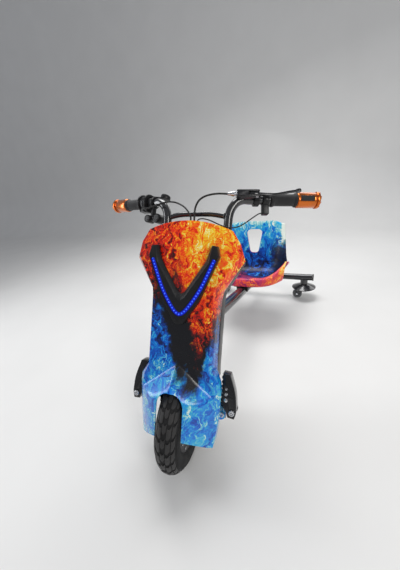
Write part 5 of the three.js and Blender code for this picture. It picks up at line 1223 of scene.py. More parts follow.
def printed_seat():
    nodes = Nodes("printed_flames_seat")
    place = nodes.coordinates("print")
    across, along = nodes.split(place)
    from_middle = nodes.math("ABSOLUTE", across)
    torn = nodes.ranged(nodes.noise(nodes.moved(place, scale=(1, 1.2, 1)), 2.6, 4, 0.6), 0.25, 0.75,
                        -0.5, 0.5)
    # The back pales towards its top and its edges, and darkens low on the left flank.
    height = nodes.ranged(along, 2.9, 5.0, -0.16, 0.36)
    rim = nodes.plus(nodes.ranged(from_middle, 1.3, 1.45, 0, 0.6, smooth=True),
                     nodes.ranged(along, 5.0, 5.3, 0, 0.12, smooth=True))
    rim = nodes.times(rim, nodes.ranged(along, 3.9, 4.5, smooth=True))
    cold = flame_layer(nodes, place, 2.6, ICE, nodes.plus(height, rim), 5.3)
    shade_x = nodes.minus(nodes.plus(across, nodes.times(torn, 0.6)), 0.72)
    shade_y = nodes.minus(4.3, nodes.plus(along, nodes.times(torn, 0.8)))
    shade = nodes.times(nodes.ranged(shade_x, 0, 0.4, smooth=True),
                        nodes.ranged(shade_y, -0.2, 0.4, smooth=True))
    cold = nodes.mix(nodes.times(shade, 0.93), cold, (0.003, 0.004, 0.012))
    # A warm band lies along the lip, deep at one end and narrow at the other, and on both flanks.
    warm_lift = nodes.plus(nodes.ranged(across, -1.2, 1.4, -0.14, 0.26),
                           nodes.ranged(along, 0.3, 1.2, 0.08, -0.2))
    warm = flame_layer(nodes, place, 3.4, EMBER, warm_lift, 8.9)
    lip_end = nodes.ranged(across, -0.6, 1.1, 2.7, 0.9)
    lip = nodes.minus(lip_end, nodes.plus(along, nodes.times(torn, 0.5)))
    lip = nodes.ranged(lip, -0.1, 0.15, smooth=True)
    flank = nodes.ranged(nodes.plus(from_middle, nodes.times(torn, 0.25)), 1.6, 1.75, smooth=True)
    flank = nodes.times(flank, nodes.ranged(along, 2.4, 3.1, 1, 0, smooth=True))
    colour = nodes.mix(nodes.math("MAXIMUM", lip, flank), cold, warm)
    return printed(nodes, colour, 0.34, 0.46, 0.1, 0.12, 0.3)


settle(seat, "frame", "seat_print", printed_seat(), ["seat_shell"], sharp=60)
for word in ("front", "rear"):
    smooth_node(f"seat_saddle_{word}", 1.4, "frame", "black_steel", SATIN_BLACK)
print("seat is printed")

# %% [markdown]
# ## Front wheel
# A fat slick-shouldered tyre with curved tread blocks, on the motor. One pitch of the tread is
# modelled as five short blocks that bend over the crown, and Geometry Nodes repeats it around the
# axle. The motor's covers carry a ring of screws, a raised rim and fine cooling ribs.

# %% Tyre
TYRE_RADIUS, TYRE_HALF, TYRE_SECTION = 127, 29, 29
TREAD_PITCHES, TREAD_FOOT = 26, 3.2
# Each block: from and to in degrees over the crown, from and to in shares of a pitch, and its lean.
TREAD_BLOCKS = [(-57, -38, 0.06, 0.8, 0.34), (-34, -13, 0.28, 0.96, 0.2), (-9, 9, 0.1, 0.62, 0),
                (13, 34, 0.28, 0.96, -0.2), (38, 57, 0.06, 0.8, -0.34)]


def tyre_spot(angle, turn, depth):
    """A point over the tyre: angle over the crown, turn around the axle, depth below the skin."""
    section = TYRE_SECTION - depth
    radius = TYRE_RADIUS - TYRE_SECTION + section * math.cos(angle)
    return Vector((section * math.sin(angle) * TYRE_HALF / TYRE_SECTION, radius * math.cos(turn),
                   radius * math.sin(turn)))


def carcass(bm):
    """The round body of the tyre, sunk under the tread, with a moulded line on each side."""
    profile = []
    bead_angle = math.radians(130)
    for i in range(65):
        angle = -bead_angle + 2 * bead_angle * i / 64
        depth = 2.4 if abs(angle) < math.radians(58) else 0.25
        spot = tyre_spot(angle, 0, depth)
        profile.append((spot.x, spot.y))
    spin(bm, profile, 160)
    for angle in (-68, 68):
        spot = tyre_spot(math.radians(angle), 0, 0.3)
        spin(bm, [(spot.x + 1.2 * math.cos(t), spot.y + 0.5 * math.sin(t))
                  for t in turns(12)], 160)


def tread_pitch(bm):
    """Five blocks over the crown.

    Each is a patch of the tyre's skin with walls, bent back like a leaf."""
    pitch = 2 * math.pi / TREAD_PITCHES
    for low, high, start, stop, lean in TREAD_BLOCKS:
        top, foot = [], []
        for i in range(7):
            share = i / 6
            angle = math.radians(low + (high - low) * share)
            curve = lean * (share - 0.5) + 0.16 * (1 - (2 * share - 1) ** 2)
            for grid in (top, foot):
                line = []
                for k in range(4):
                    turn = pitch * (start + (stop - start) * k / 3 + curve - 0.5)
                    edge = 0.25 if i in (0, 6) or k in (0, 3) else 0.0
                    depth = edge if grid is top else TREAD_FOOT
                    line.append(tyre_spot(angle, turn, depth) - Vector((0, TYRE_RADIUS, 0)))
                grid.append(line)
        slab(bm, *([[bm.verts.new(point) for point in line] for line in grid]
                   for grid in (top, foot)))


TYRE_RUBBER = finish("tyre_rubber", (0.026, 0.025, 0.025), 0.62, grain=1000, depth=0.00008,
                     sheen=0.1)
# The carcass is painted near-black, darker than the blocks. This is painted shade for the grooves
# between the blocks, and it darkens the sidewalls with it.
CARCASS_PAINTED_SHADE = finish("tyre_carcass_painted_shade", (0.009, 0.009, 0.0095), 0.75, grain=1000,
                       depth=0.00008)
tyre = part("tyre_carcass", carcass, WHEEL, "front_wheel", "tyre", CARCASS_PAINTED_SHADE, ["tyre"],
            sharp=70)
tread = around("tyre_tread", tread_pitch, TREAD_PITCHES, TYRE_RADIUS, WHEEL, TYRE_RUBBER)
settle(tread, "front_wheel", "tyre", None, sharp=50)
print("tyre faces", len(tyre.data.polygons), len(tread.data.polygons))

# %% [markdown]
# The hub motor fills the rim: two dished covers with a ring of screws and short cooling ribs.
# Turned as one profile it keeps its true steps, and screws and ribs are repeated around the axle by
# the same node tree as the tread. The fork legs are plates with a round foot, so an outline is
# thickened and bored; plain castings keep their CAD shape with rounded edges.

# %% Motor, axle, brake and fork
BEAD_SHARE, BEAD_GAP = 0.6428, 0.6
RIM = TYRE_RADIUS - TYRE_SECTION - TYRE_SECTION * BEAD_SHARE - BEAD_GAP
MOTOR_SIDE = [(22, RIM), (24.6, RIM - 0.5), (24.6, RIM - 5), (22.4, RIM - 6.5), (22.6, 66),
              (28.6, 34), (28.9, 30)]
COVER_SCREW = [(21, 0), (21, 3.4), (24, 3.4), (24.6, 2.8), (24.6, 1.6), (23.4, 1.5), (23.4, 0)]


def motor(bm):
    """Two dished covers on a drum, held within the tyre's beads above the covers' rim."""
    profile = [(-x, r) for x, r in reversed(MOTOR_SIDE)] + [(0, RIM - 1.5)] + MOTOR_SIDE
    profile = [(-28.9, 6.6)] + profile + [(28.9, 15), (32.9, 14.6), (32.9, 6.6)]
    spin(bm, [(min(22, max(-22, x)) if r > 66.5 else x, r) for x, r in profile], 120)


def cover_screw(bm):
    for side in (1, -1):
        spin(bm, [(side * x, r) for x, r in COVER_SCREW], 20)


def cover_rib(bm):
    for low, high in ((24, 27.2), (-27.2, -24)):
        box(bm, (low, -9, -0.9), (high, 9, 0.9))


def fork_leg(bm, side):
    low, high = sorted((side * 46, side * 52))
    arc = [(AXLE_Y + 16 * math.sin(t), AXLE_Z - 16 * math.cos(t))
           for t in (math.pi * (k / 20 - 0.5) for k in range(21))]
    plate(bm, [(-39, 140.6)] + arc + [(-7, 140.6)], low, high, "x")


part("motor_shell", motor, WHEEL, "front_wheel", "motor_black", MOTOR_BLACK, ["hub_motor"],
     width=0.5, angle=30)
settle(around("motor_screws", cover_screw, 12, 69, WHEEL, STEEL), "front_wheel", "bright_steel",
       None, sharp=30)
settle(around("motor_ribs", cover_rib, 24, 46, WHEEL, MOTOR_BLACK), "front_wheel", "motor_black",
       None, sharp=30)
smooth_node("front_axle", 0.6, "steering", "bright_steel", DULL_STEEL)
smooth_node("brake_plate", 1.0, "steering", "cast_grey", CAST_ALLOY)
smooth_node("brake_arm", 0.5, "brake_drum_arm", "bright_steel", DULL_STEEL)
for side, word in SIDES:
    leg = solid(f"fork_leg_{word}_skin", lambda bm: fork_leg(bm, side), STEERING)
    drill(leg, STEERING, 6.3, -70, 70, "x", (0, AXLE_Y, AXLE_Z))
    rounded(leg, 0.9, 2)
    settle(leg, *PAINTED, [f"fork_leg_{word}"], sharp=50)
smooth_node("fork_crown", 1.0, *PAINTED)
smooth_node("column_frame", 0.9, *PAINTED)
smooth_node("kingpin", 0.8, "steering", "bright_steel", DULL_STEEL)
print("front wheel and fork are dressed")

# %% [markdown]
# ## Behind the cowl
# The rear cover, the battery and the controller are plain moulded or folded cases, so a copy of
# each CAD solid with rounded edges serves. Eight screws hold the real cover, and small turned heads
# stand for them. The charge port and the power button are round, so they are turned as well.

# %% Rear cover and electrics
COVER_SCREW_SPOTS = ((63, 118), (63, 236), (96, 392), (74, 440))
HEAD_SCREW = [(9.8, 0), (9.8, 4), (11, 3.8), (11.8, 2.6), (11.8, 1.6), (10.8, 1.5), (10.8, 0)]
PORT_HEIGHT, POWER_HEIGHT = 330, 362
PORT = [(0.3, 0), (0.3, 9), (10.3, 9), (10.3, 11.6), (10.9, 12), (12.2, 12), (12.7, 11.4),
        (12.7, 6.2), (12.2, 5.2), (3.7, 5), (3.7, 0)]
PORT_PIN = [(3.6, 0), (3.6, 0.8), (9, 0.8), (9.6, 0)]
POWER_CAP = [(4.8, 0), (4.8, 9), (6.7, 9), (6.7, 6.2), (11.4, 6.2), (12.2, 5.4), (12.3, 4),
             (11.7, 3.2), (11.6, 0)]


def rear_cover_screws(bm):
    for side in (1, -1):
        for x, z in COVER_SCREW_SPOTS:
            spin(bm, HEAD_SCREW, 20, "y", (side * x, 0, z))


def port_body(bm):
    """A round socket with three pins."""
    spin(bm, PORT, 48, "y", (0, 0, PORT_HEIGHT))
    for angle in turns(3):
        spin(bm, PORT_PIN, 12, "y", (2.6 * math.cos(angle), 0, PORT_HEIGHT + 2.6 * math.sin(angle)))


smooth_node("cowl_rear", 1.2, *PLASTIC, angle=20)
part("rear_cover_screws", rear_cover_screws, STEERING, "steering", "bright_steel", DULL_STEEL,
     sharp=30)
smooth_node("battery_case", 3.0, "steering", "battery_blue", BATTERY_FILM)
smooth_node("controller_case", 1.5, "steering", "controller_alloy", CAST_ALLOY)
part("port_body", port_body, STEERING, *PLASTIC, ["charge_port"], sharp=30)
part("power_cap", turned(POWER_CAP, 48, "y", (0, 0, POWER_HEIGHT)), STEERING, "power",
     "button_blue", BLUE_BUTTON, ["power_button"], sharp=30)
print("rear cover is dressed")

# %% [markdown]
# ## Controls
# Everything on the bar hangs from a split clamp ring, so one helper turns that ring with its
# rounded edges and another turns its socket-head screws. The lever and the perch lie in a plane
# tilted a little upward; the rest follows the bar.

# %% Clamps and the throttle
BORE = 11.65
LEVER_TILT = math.radians(-9)
PLANE = BAR["left"] @ Matrix.Rotation(LEVER_TILT, 4, "X")


def clamp(bm, inner, length, radius, soft=1.0):
    """A ring on the bar that ends at a distance from the bar's end, with softened edges."""
    low, high = -inner, length - inner
    spin(bm, [(low, BORE), (low, radius - soft), (low + soft * 0.3, radius - soft * 0.3),
              (low + soft, radius), (high - soft, radius), (high - soft * 0.3, radius - soft * 0.3),
              (high, radius - soft), (high, BORE)], 56)


def ring_clamp(inner, length, radius, soft):
    """A builder of one clamp ring."""
    return lambda bm: clamp(bm, inner, length, radius, soft)


def cap_screw(bm, at, radius, length, side):
    """A socket-head screw that stands on a face, along Y."""
    profile = [(0, 0), (0, radius), (length * 0.8, radius), (length, radius * 0.86),
               (length, radius * 0.5), (length * 0.45, radius * 0.45), (length * 0.45, 0)]
    spin(bm, [(side * x, r) for x, r in profile], 18, "y", at)


print("clamp bore in mm:", 2 * BORE)

# %% [markdown]
# The throttle housing is two flanges, a slimmer drum between them and a foot that takes the two
# screws. On the real part it is one moulding split along the bar, so the rings are turned round the
# bar and the foot is a plain block below, and one bevel rounds all edges alike.

# %% Throttle housing
def throttle_body(bm):
    clamp(bm, 153.3, 6, 25, 1.6)
    clamp(bm, 128.3, 6, 25, 1.6)
    clamp(bm, 147.4, 19.1, 21, 0.3)
    box(bm, (-153.3, -10, -26), (-122.3, 10, -18))


def throttle_screws(bm):
    for x in (-148, -127.6):
        cap_screw(bm, (x, -9.9, -21.5), 2.2, 1.6, -1)


housing = part("throttle_body", throttle_body, BAR["right"], *PLASTIC, ["throttle_housing"],
               width=0.7, sharp=40, angle=40)
part("throttle_screws", throttle_screws, BAR["right"], *BRIGHT)
print("throttle faces", len(housing.data.polygons))

# %% [markdown]
# The brake lever is a cast blade with a ball at its tip. It swings on a pin between the two cheeks
# of the perch, so the perch is a block with a slot sawn through it, and the blade is a swept
# section rather than a bent box: its section thins towards the tip. A turned adjuster holds the
# cable's end.

# %% Brake lever, perch and adjuster
PIVOT = (-163, -31, 0)
LEVER_LENGTH = 93
LEVER_LINE = [(PIVOT[0] + a * LEVER_LENGTH, PIVOT[1] + (3 if b < 0 else -15) * abs(b)) for a, b in
              ((0, 0), (0.25, -1), (0.5, -0.6), (0.78, 0.6), (1, 1))]
LEVER_ROOT = [(-180.6, -35.5), (-163, -37), (-158, -35), (-156, -30), (-159, -26.2), (-163, -25.6),
              (-180.6, -28.5)]
LEVER_BALL = [(-3.5, 0), (-3.5, 5.2), (-2.6, 6.3), (0, 7), (2.6, 6.3), (3.5, 5.2), (3.5, 0)]
PERCH = [(-212, -36), (-210, -38), (-159, -38), (-157, -36), (-157, -22), (-159, -20), (-210, -20),
         (-212, -22)]
PIN = [(-8.3, 0), (-8.3, 3.6), (-7.6, 4), (7.6, 4), (8.3, 3.6), (8.3, 0)]


def lever_blade(bm):
    """The blade follows a curve and thins towards its tip; the ball at its end is a piece of its
    own.
    """
    steps, power = 30, -0.45
    line = through([(x, y, 0) for x, y in LEVER_LINE], steps)
    rings = []
    for i, point in enumerate(line):
        run = (line[min(steps, i + 1)] - line[max(0, i - 1)]).normalized()
        across = Vector((run.y, -run.x, 0))
        half, thick = 4.4 - 0.5 * math.sin(math.pi * i / steps), 3.4 - 0.9 * (i / steps)
        rings.append([
            bm.verts.new(point + across * half * math.cos(t) * abs(math.cos(t)) ** power
                         + Vector((0, 0, thick * math.sin(t))) * (abs(math.sin(t)) + 1e-6) ** power)
            for t in (2 * math.pi * (k + 0.5) / 16 for k in range(16))])
    add_ring_faces(bm, rings)
    bm.faces.new(rings[0])
    bm.faces.new(rings[-1])


def barrel(bm):
    """The cable's adjuster: a knurled nut, a cone and a sleeve."""
    start = -212.3
    profile = [(start, 0), (start, 6.5)]
    for k in range(6):
        profile += [(start - 0.4 - k * 1.1, 6.5), (start - 0.8 - k * 1.1, 6.1)]
    profile += [(start - 8, 5.9), (start - 13, 5.1), (start - 14.4, 4.6), (start - 15, 4.1),
                (start - 21.4, 3.7), (start - 22, 3.2), (start - 22, 0)]
    spin(bm, profile, 40, "x", (0, -30, 0))


LEVER_SKIN = finish("lever_lacquer", (0.02, 0.02, 0.022), 0.2, metallic=0.5, coat=0.6, grain=600,
                    depth=0.00002)
LEVER = ("brake_hand_lever", "black_steel", LEVER_SKIN)
PERCH_ALLOY = ("steering", "black_plastic", BLACK_ALLOY)
part("lever_blade", lever_blade, PLANE, *LEVER, ["brake_lever"], sharp=60)
part("lever_tip", turned(LEVER_BALL, 32, "z", (*LEVER_LINE[-1], 0)), PLANE, *LEVER)
root = solid("lever_root", lambda bm: plate(bm, LEVER_ROOT, -3.5, 3.5, "z"), PLANE)
drill(root, PLANE, 3.3, -9, 9, "z", PIVOT, 24)
rounded(root, 0.9)
settle(root, *LEVER)
perch = solid("perch_body", lambda bm: plate(bm, PERCH, -8, 8, "z"), PLANE)
cut(perch, solid("slot", block((-183.6, -42, -4.4), (-148, -18.5, 4.4)), PLANE))
rounded(perch, 1.0)
settle(perch, *PERCH_ALLOY, ["brake_perch"])
part("perch_clamp", ring_clamp(166, 14, 16, 1.4), PLANE, *PERCH_ALLOY)
neck = solid("perch_neck", block((-165.6, -24, -7.6), (-152.4, -13, 7.6)), PLANE)
cut(neck, solid("slot", block((-183.6, -42, -4.4), (-148, -22.2, 4.4)), PLANE))
settle(neck, *PERCH_ALLOY)
part("perch_pin", turned(PIN, 24, "z", PIVOT), PLANE, *BRIGHT)
part("barrel_skin", barrel, PLANE, *BRIGHT, ["barrel_adjuster"], sharp=25)
print("perch faces", len(perch.data.polygons))

# %% [markdown]
# The horn switch on the left bar is a clamp with a small box and a red push cap in a well. On the
# right bar a cluster of two round switch bodies hangs below the bar, and a round display stands in
# front of it on its own arm. Round bodies are turned, boxes are bevelled blocks, and each well is
# cut out so that a cap has room to travel.

# %% Horn switch, switch box and display
HORN_X, HORN_Z = -135.5, -26.5
OUTER_X, INNER_X, SWITCH_Z = -157, -192, -45
WELL = 5.4
CAP = [(0, 0), (0, 4.8), (5.9, 4.8), (6.6, 4.5), (6.9, 3.8), (6.5, 2.4), (6.2, 0)]
POD_DISC = [(-6, 0), (-6, 11), (-5, 13.2), (-3, 14), (3.4, 14), (5.2, 13.6), (6, 12.6), (6, 11.4),
            (5.2, 10.9), (5.2, 0)]
POD_GLASS = [(5.1, 0), (5.1, 10.8), (5.6, 10.6), (5.9, 9.6), (6, 0)]
POD_ARM = [(-154.5, -4.5), (-154.5, 4.5), (-190, -14), (-190, -26)]
POD = BAR["right"] @ Matrix.Translation((-190, -20, 19)) @ Matrix.Rotation(math.radians(15), 4, "X")


def push_cap(x, z, face, reach):
    """A dished button cap.

    Face is the sign of its side, and reach is the body's face from the bar's axis."""
    low = face * (reach - 4.1)
    return turned([(low + face * along, r) for along, r in CAP], 40, "y", (x, 0, z))


def switch_drum(x, radius):
    """A round switch body with a stepped bezel on both faces."""
    bezel = [(12, 0.5), (11, 0.56), (11, 0.72), (12, 0.8), (11.6, 0.94), (10, 1)]
    profile = [(-12, 0)] + [(-y, radius * share) for y, share in bezel]
    profile += [(y, radius * share) for y, share in reversed(bezel)] + [(12, 0)]
    return turned(profile, 56, "y", (x, 0, SWITCH_Z))


def bar_screws(bm):
    for x, side in ((-155, 1), (-163, -1)):
        cap_screw(bm, (x, side * 15.2, 0), 2.2, 1.8, side)


part("horn_clamp", ring_clamp(143, 15, 16, 1.5), BAR["left"], *PLASTIC)
horn = solid("horn_box", block((-143.5, -9, -37), (-127.5, 9, -12.5)), BAR["left"])
drill(horn, BAR["left"], WELL, 0.5, 14, "y", (HORN_X, 0, HORN_Z))
rounded(horn, 1.8, 3)
settle(horn, *PLASTIC, ["horn_switch"])
part("horn_cap", push_cap(HORN_X, HORN_Z, 1, 9), BAR["left"], "horn", "button_red", RED_BUTTON,
     ["horn_button"])
part("switch_clamp", ring_clamp(174, 10, 16, 1.2), BAR["right"], *PLASTIC)
part("switch_post", block((-174, -6, -40), (-164, 6, -12.5)), BAR["right"], *PLASTIC, width=1)
part("switch_web", block((-188, -6, -51), (-160, 6, -39)), BAR["right"], *PLASTIC, ["switch_box"],
     width=1.4)
part("switch_outer", switch_drum(OUTER_X, 11), BAR["right"], *PLASTIC)
knob = solid("switch_inner", switch_drum(INNER_X, 13), BAR["right"])
drill(knob, BAR["right"], WELL, -18, -6, "y", (INNER_X, 0, SWITCH_Z))
settle(knob, *PLASTIC)
part("speed_cap", push_cap(INNER_X, SWITCH_Z, -1, 12), BAR["right"], "speed", "button_green",
     GREEN_BUTTON, ["speed_button"])
part("pod_case", turned(POD_DISC, 64, "z"), POD, *PLASTIC, ["display_pod"])
part("pod_glass", turned(POD_GLASS, 48, "z"), POD, "steering", "black_plastic", DARK_GLASS)
part("pod_clamp", ring_clamp(163.5, 9, 15, 1.2), BAR["right"], *PLASTIC)
part("pod_post", block((-163.5, -4.5, 12.3), (-154.5, 4.5, 20)), BAR["right"], *PLASTIC, width=0.7)
part("pod_arm", lambda bm: plate(bm, POD_ARM, 17, 20, "z"), BAR["right"], *PLASTIC, width=0.8)
part("bar_screws", bar_screws, BAR["left"], *BRIGHT)
print("switches and display are dressed")

# %% [markdown]
# The three cords dive into a rubber gland behind the cowl's top. It is a soft block with one collar
# for each cord.

# %% Cable gland
def gland(bm):
    box(bm, (-10, -57, 470), (20, -43, 484.8))
    for x in (-4, 5, 14):
        spin(bm, [(481, 0), (481, 4.4), (484.6, 4.2), (486.6, 3.2), (486.6, 0)], 24, "z",
             (x, -50, 0))


part("gland_skin", gland, STEERING, *RUBBER, ["cable_gland"], width=1.0, sharp=38)
print("controls are dressed")

# %% [markdown]
# ## Foot pegs
# Each peg is a thick black alloy plate that stands up beside the cowl, smooth outside and toothed
# along its inner edge, with three lightening holes. It folds on a bolt through a bracket that runs
# out from the fork.

# %% Pegs, brackets and bolts
PEG_X, PEG_Z, PEG_TALL, HOLE_X = 127, 32, 90, 111
TOOTH_COUNT, TOOTH_RUN, TOOTH_ROOT = 7, 74, 102
PEG_EDGE = [(-0.29, 1), (-0.09, 0.985), (0.07, 0.5), (0.11, 0.2), (0.115, 0), (0.07, -0.155),
            (-0.1, -0.14), (-0.155, 0)]
# The three holes: height up the plate and radius, as shares of its height.
PEG_HOLES = ((0.59, 0.042), (0.445, 0.05), (0.29, 0.058))
PEG_BOLT = [(-48.3, 0), (-48.3, 2.2), (-46.6, 2.6), (-46.6, 3), (-48.3, 3.4), (-48.3, 6),
            (-47.6, 6.8), (-44.3, 7), (-44.3, 4), (-5.4, 4), (-5.4, 0)]
PEG_NUT = [(-9.4, 0), (-9.4, 7), (-6, 7), (-5.4, 6.2), (-5.4, 0)]
TAB_BOLT = [(-25.6, 0), (-25.6, 2.6), (-27.4, 3), (-28.2, 3.6), (-28.2, 6.4), (-27, 7.4),
            (-24.5, 7.6), (-24.5, 4.2), (-12, 4.2), (-12, 0)]


def peg_outline():
    """A smooth outer edge, and seven teeth down the inner one."""
    points = [(PEG_X + x * PEG_TALL, PEG_Z + z * PEG_TALL) for x, z in PEG_EDGE]
    smooth = [(p.x, p.y) for p in through([(x, z, 0) for x, z in points[1:6]], 26)]
    outline = [points[0]] + smooth + points[6:]
    pitch = TOOTH_RUN / TOOTH_COUNT
    start = PEG_Z + PEG_TALL - 3 - TOOTH_RUN
    outline.append((TOOTH_ROOT, start))
    for k in range(TOOTH_COUNT):
        for x, share in ((99.3, 0.25), (99, 0.42), (99.3, 0.6), (101.6, 0.8), (TOOTH_ROOT, 0.92)):
            outline.append((x, start + (k + share) * pitch))
    return [p for i, p in enumerate(outline) if i == 0 or math.dist(p, outline[i - 1]) > 0.05]


def peg_body(bm, side):
    plate(bm, [(side * x, z) for x, z in peg_outline()], -44, -18)


def peg_pins(bm, side):
    """Bright pins seated in the three holes, just under the face."""
    for height, share in PEG_HOLES:
        radius = share * PEG_TALL - 0.25
        spin(bm, [(-43.4, 0), (-43.4, radius * 0.8), (-42.8, radius), (-24, radius), (-24, 0)], 32,
             "y", (side * HOLE_X, 0, PEG_Z + height * PEG_TALL))


def peg_bolt(bm, side):
    for profile, sides in ((PEG_BOLT, 40), (PEG_NUT, 6)):
        spin(bm, profile, sides, "y", (side * PEG_X, 0, PEG_Z))


PEG_ALLOY = finish("peg_alloy", (0.016, 0.016, 0.018), 0.26, metallic=0.55, coat=0.35, grain=900,
                   depth=0.00003)
for side, word in SIDES:
    body = f"foot_peg_{word}"
    peg = solid(f"peg_skin_{word}", lambda bm: peg_body(bm, side), STEERING)
    for height, share in PEG_HOLES:
        drill(peg, STEERING, share * PEG_TALL, -60, 0, "y",
              (side * HOLE_X, 0, PEG_Z + height * PEG_TALL), 40)
    drill(peg, STEERING, 4.3, -60, 0, "y", (side * PEG_X, 0, PEG_Z), 40)
    rounded(peg, 1.3, 3, 30)
    part(f"peg_pins_{word}", lambda bm: peg_pins(bm, side), STEERING, body, "bright_steel", STEEL)
    settle(peg, body, "black_alloy", PEG_ALLOY, [f"peg_{word}"], sharp=40)
    smooth_node(f"peg_bracket_{word}", 1.0, *PAINTED)
    part(f"peg_bolt_skin_{word}", lambda bm: peg_bolt(bm, side), STEERING, *BRIGHT,
         [f"peg_bolt_{word}"], width=0.3)
    part(f"tab_bolt_{word}", turned(TAB_BOLT, 6, "y", (side * EAR_HOLE_X, 0, EAR_HOLE_Z)), STEERING,
         *BRIGHT, width=0.4)
print("pegs are dressed")

# %% [markdown]
# ## Rear frame and casters
# The main tube runs from the head tube back to a sliding joint, the slimmer rear tube goes on to
# the cross beam, and a caster hangs under each end of the beam. Weld beads lie where tube meets
# tube.

# %% Tubes and welds
HEAD_POINT = VEHICLE.inverted() @ (RAKED @ Vector((0, 0, 190)))
BEAM_POINT = Vector((0, CASTER_BACK, BEAM_HEIGHT))
SPAN = (BEAM_POINT - HEAD_POINT).length
BOLT_PLACE = (0, 0, 590)
MAIN_TUBE = [(20.8, 0), (20.8, 20.9), (618.8, 20.9), (620, 19.8), (620, 18.6), (596, 18.6),
             (596, 0)]
GUSSET = [(24, -15), (88, -20), (88, -21.5), (27, -58)]
BEARING = [(0, 9), (0, 18.6), (1, 20), (5, 20), (5.6, 19), (6.4, 19), (7, 20), (11, 20), (12, 18.6),
           (12, 9)]


def tube_matrix():
    """Frame at the head tube: Z along the main tube, X to the left."""
    along = (BEAM_POINT - HEAD_POINT).normalized()
    side = Vector((1, 0, 0))
    turn = Matrix((side, along.cross(side), along)).transposed().to_4x4()
    return VEHICLE @ Matrix.Translation(HEAD_POINT) @ turn


TUBE = tube_matrix()
GUSSET_PLANE = TUBE @ Matrix(((0, 1, 0, 0), (0, 0, 1, 0), (1, 0, 0, 0), (0, 0, 0, 1)))


def pipe(outer, inner, low, high, axis="z"):
    """A builder of a plain open tube."""
    return turned([(low, inner), (low, outer), (high, outer), (high, inner)], 72, axis)


def bead(bm, points, width, seed=0):
    """A rippled weld bead along a closed line of points."""
    rings = []
    for i, point in enumerate(points):
        run = (points[(i + 1) % len(points)] - points[i - 1]).normalized()
        normal = run.orthogonal().normalized()
        radius = width * (1 + 0.16 * math.sin(i * 2.1 + seed))
        rings.append(hoop(bm, point, normal, run.cross(normal), radius, 8))
    add_ring_faces(bm, rings, closed=True)


def length_bolt(bm):
    """The bolt that holds the sliding tube: a washer and a hexagon on each side."""
    for side in (1, -1):
        for profile, sides in (([(20.6, 0), (20.6, 10.4), (21.8, 10.4), (21.9, 0)], 40),
                               ([(21.8, 0), (21.8, 9), (26.4, 9), (27.3, 8), (27.3, 0)], 6)):
            spin(bm, [(side * x, r) for x, r in profile], sides, "x", BOLT_PLACE)


part("main_tube_skin", turned(MAIN_TUBE, 72, "z"), TUBE, *FRAME_BLACK, ["main_tube"], sharp=40)
part("gusset", lambda bm: plate(bm, GUSSET, -3, 3), GUSSET_PLANE, *FRAME_BLACK, width=1.0)
part("rear_tube_skin", pipe(17.2, 14.7, 470, SPAN - 16), TUBE, *FRAME_BLACK, ["rear_tube"],
     sharp=50)
part("length_bolt_skin", length_bolt, TUBE, "frame", "bright_steel", STEEL, ["length_bolt"],
     width=0.3)
part("head_tube_skin", pipe(20, 16.4, 163.9, 270.1), RAKED, *FRAME_BLACK, ["head_tube"], width=0.6)
for word, low in (("lower", 151.3), ("upper", 270.7)):
    part(f"bearing_{word}_skin", turned([(low + z, r) for z, r in BEARING], 60, "z"), RAKED,
         "frame", "bright_steel", STEEL, [f"bearing_{word}"])
print("tubes span", round(SPAN), "mm")

# %% [markdown]
# The cross beam is a plain tube with a bearing housing near each end and a plastic cap in each
# mouth. Real beads wave a little, so each is a swept ring whose width ripples along the seam that
# it follows.

# %% Beam and its ends
BEAM_RADIUS, REAR_RADIUS = 17, 17.2
HOUSING = [(-37, 9.4), (-37, 17.8), (-36, 19), (-6, 19), (-2, 17), (-2, 0), (-19, 0), (-19, 9.4)]
BEAM_CAP = [(286.3, 0), (286.3, 18), (287, 18.5), (290.6, 18.5), (291.8, 17.6), (292.2, 15),
            (292.3, 0)]


def housings(bm):
    for side in (1, -1):
        spin(bm, HOUSING, 60, "z", (side * CASTER_SIDE, 0, 0))


def beam_welds(bm):
    """Where each housing meets the underside of the beam."""
    for side in (1, -1):
        points = []
        for t in turns(72):
            x, y = 19.2 * math.cos(t), 19.2 * math.sin(t)
            y = max(-16.6, min(16.6, y))
            points.append(Vector((side * CASTER_SIDE + x, y,
                                  -math.sqrt(max(0, BEAM_RADIUS ** 2 - y * y)) - 0.4)))
        bead(bm, points, 1.3, side)


def tube_weld(bm):
    """Where the rear tube meets the beam."""
    points = []
    run = (HEAD_POINT - BEAM_POINT).normalized()
    up = run.cross(Vector((1, 0, 0))).normalized()
    for t in turns(80):
        rim = Vector((1, 0, 0)) * math.cos(t) * REAR_RADIUS + up * math.sin(t) * REAR_RADIUS
        reach = math.sqrt(max(0, REAR_RADIUS ** 2 - rim.dot(up) ** 2))
        points.append(rim + run * (reach + 0.6))
    bead(bm, points, 1.7)


part("beam_skin", pipe(BEAM_RADIUS, 14.8, -286, 286, "x"), BEAM, *FRAME_BLACK, ["axle_beam"],
     sharp=40)
part("housing_skin", housings, BEAM, *FRAME_BLACK, sharp=40)
part("beam_weld_beads", beam_welds, BEAM, *FRAME_BLACK, sharp=180)
part("tube_weld_bead", tube_weld, BEAM, *FRAME_BLACK, sharp=180)
for side, word in SIDES:
    part(f"beam_cap_skin_{word}", turned([(side * x, r) for x, r in BEAM_CAP], 64), BEAM, "frame",
         "black_plastic", SATIN_BLACK, [f"beam_cap_{word}"])
print("beam, caps and beads are dressed")

# %% [markdown]
# A caster is a round dish with the swivel's stem above it and a small wheel in a fork below, set
# off to one side so that it trails. Dish, stem and wheel are turned profiles and the fork's cheeks
# are cut from plate, as on the real one.

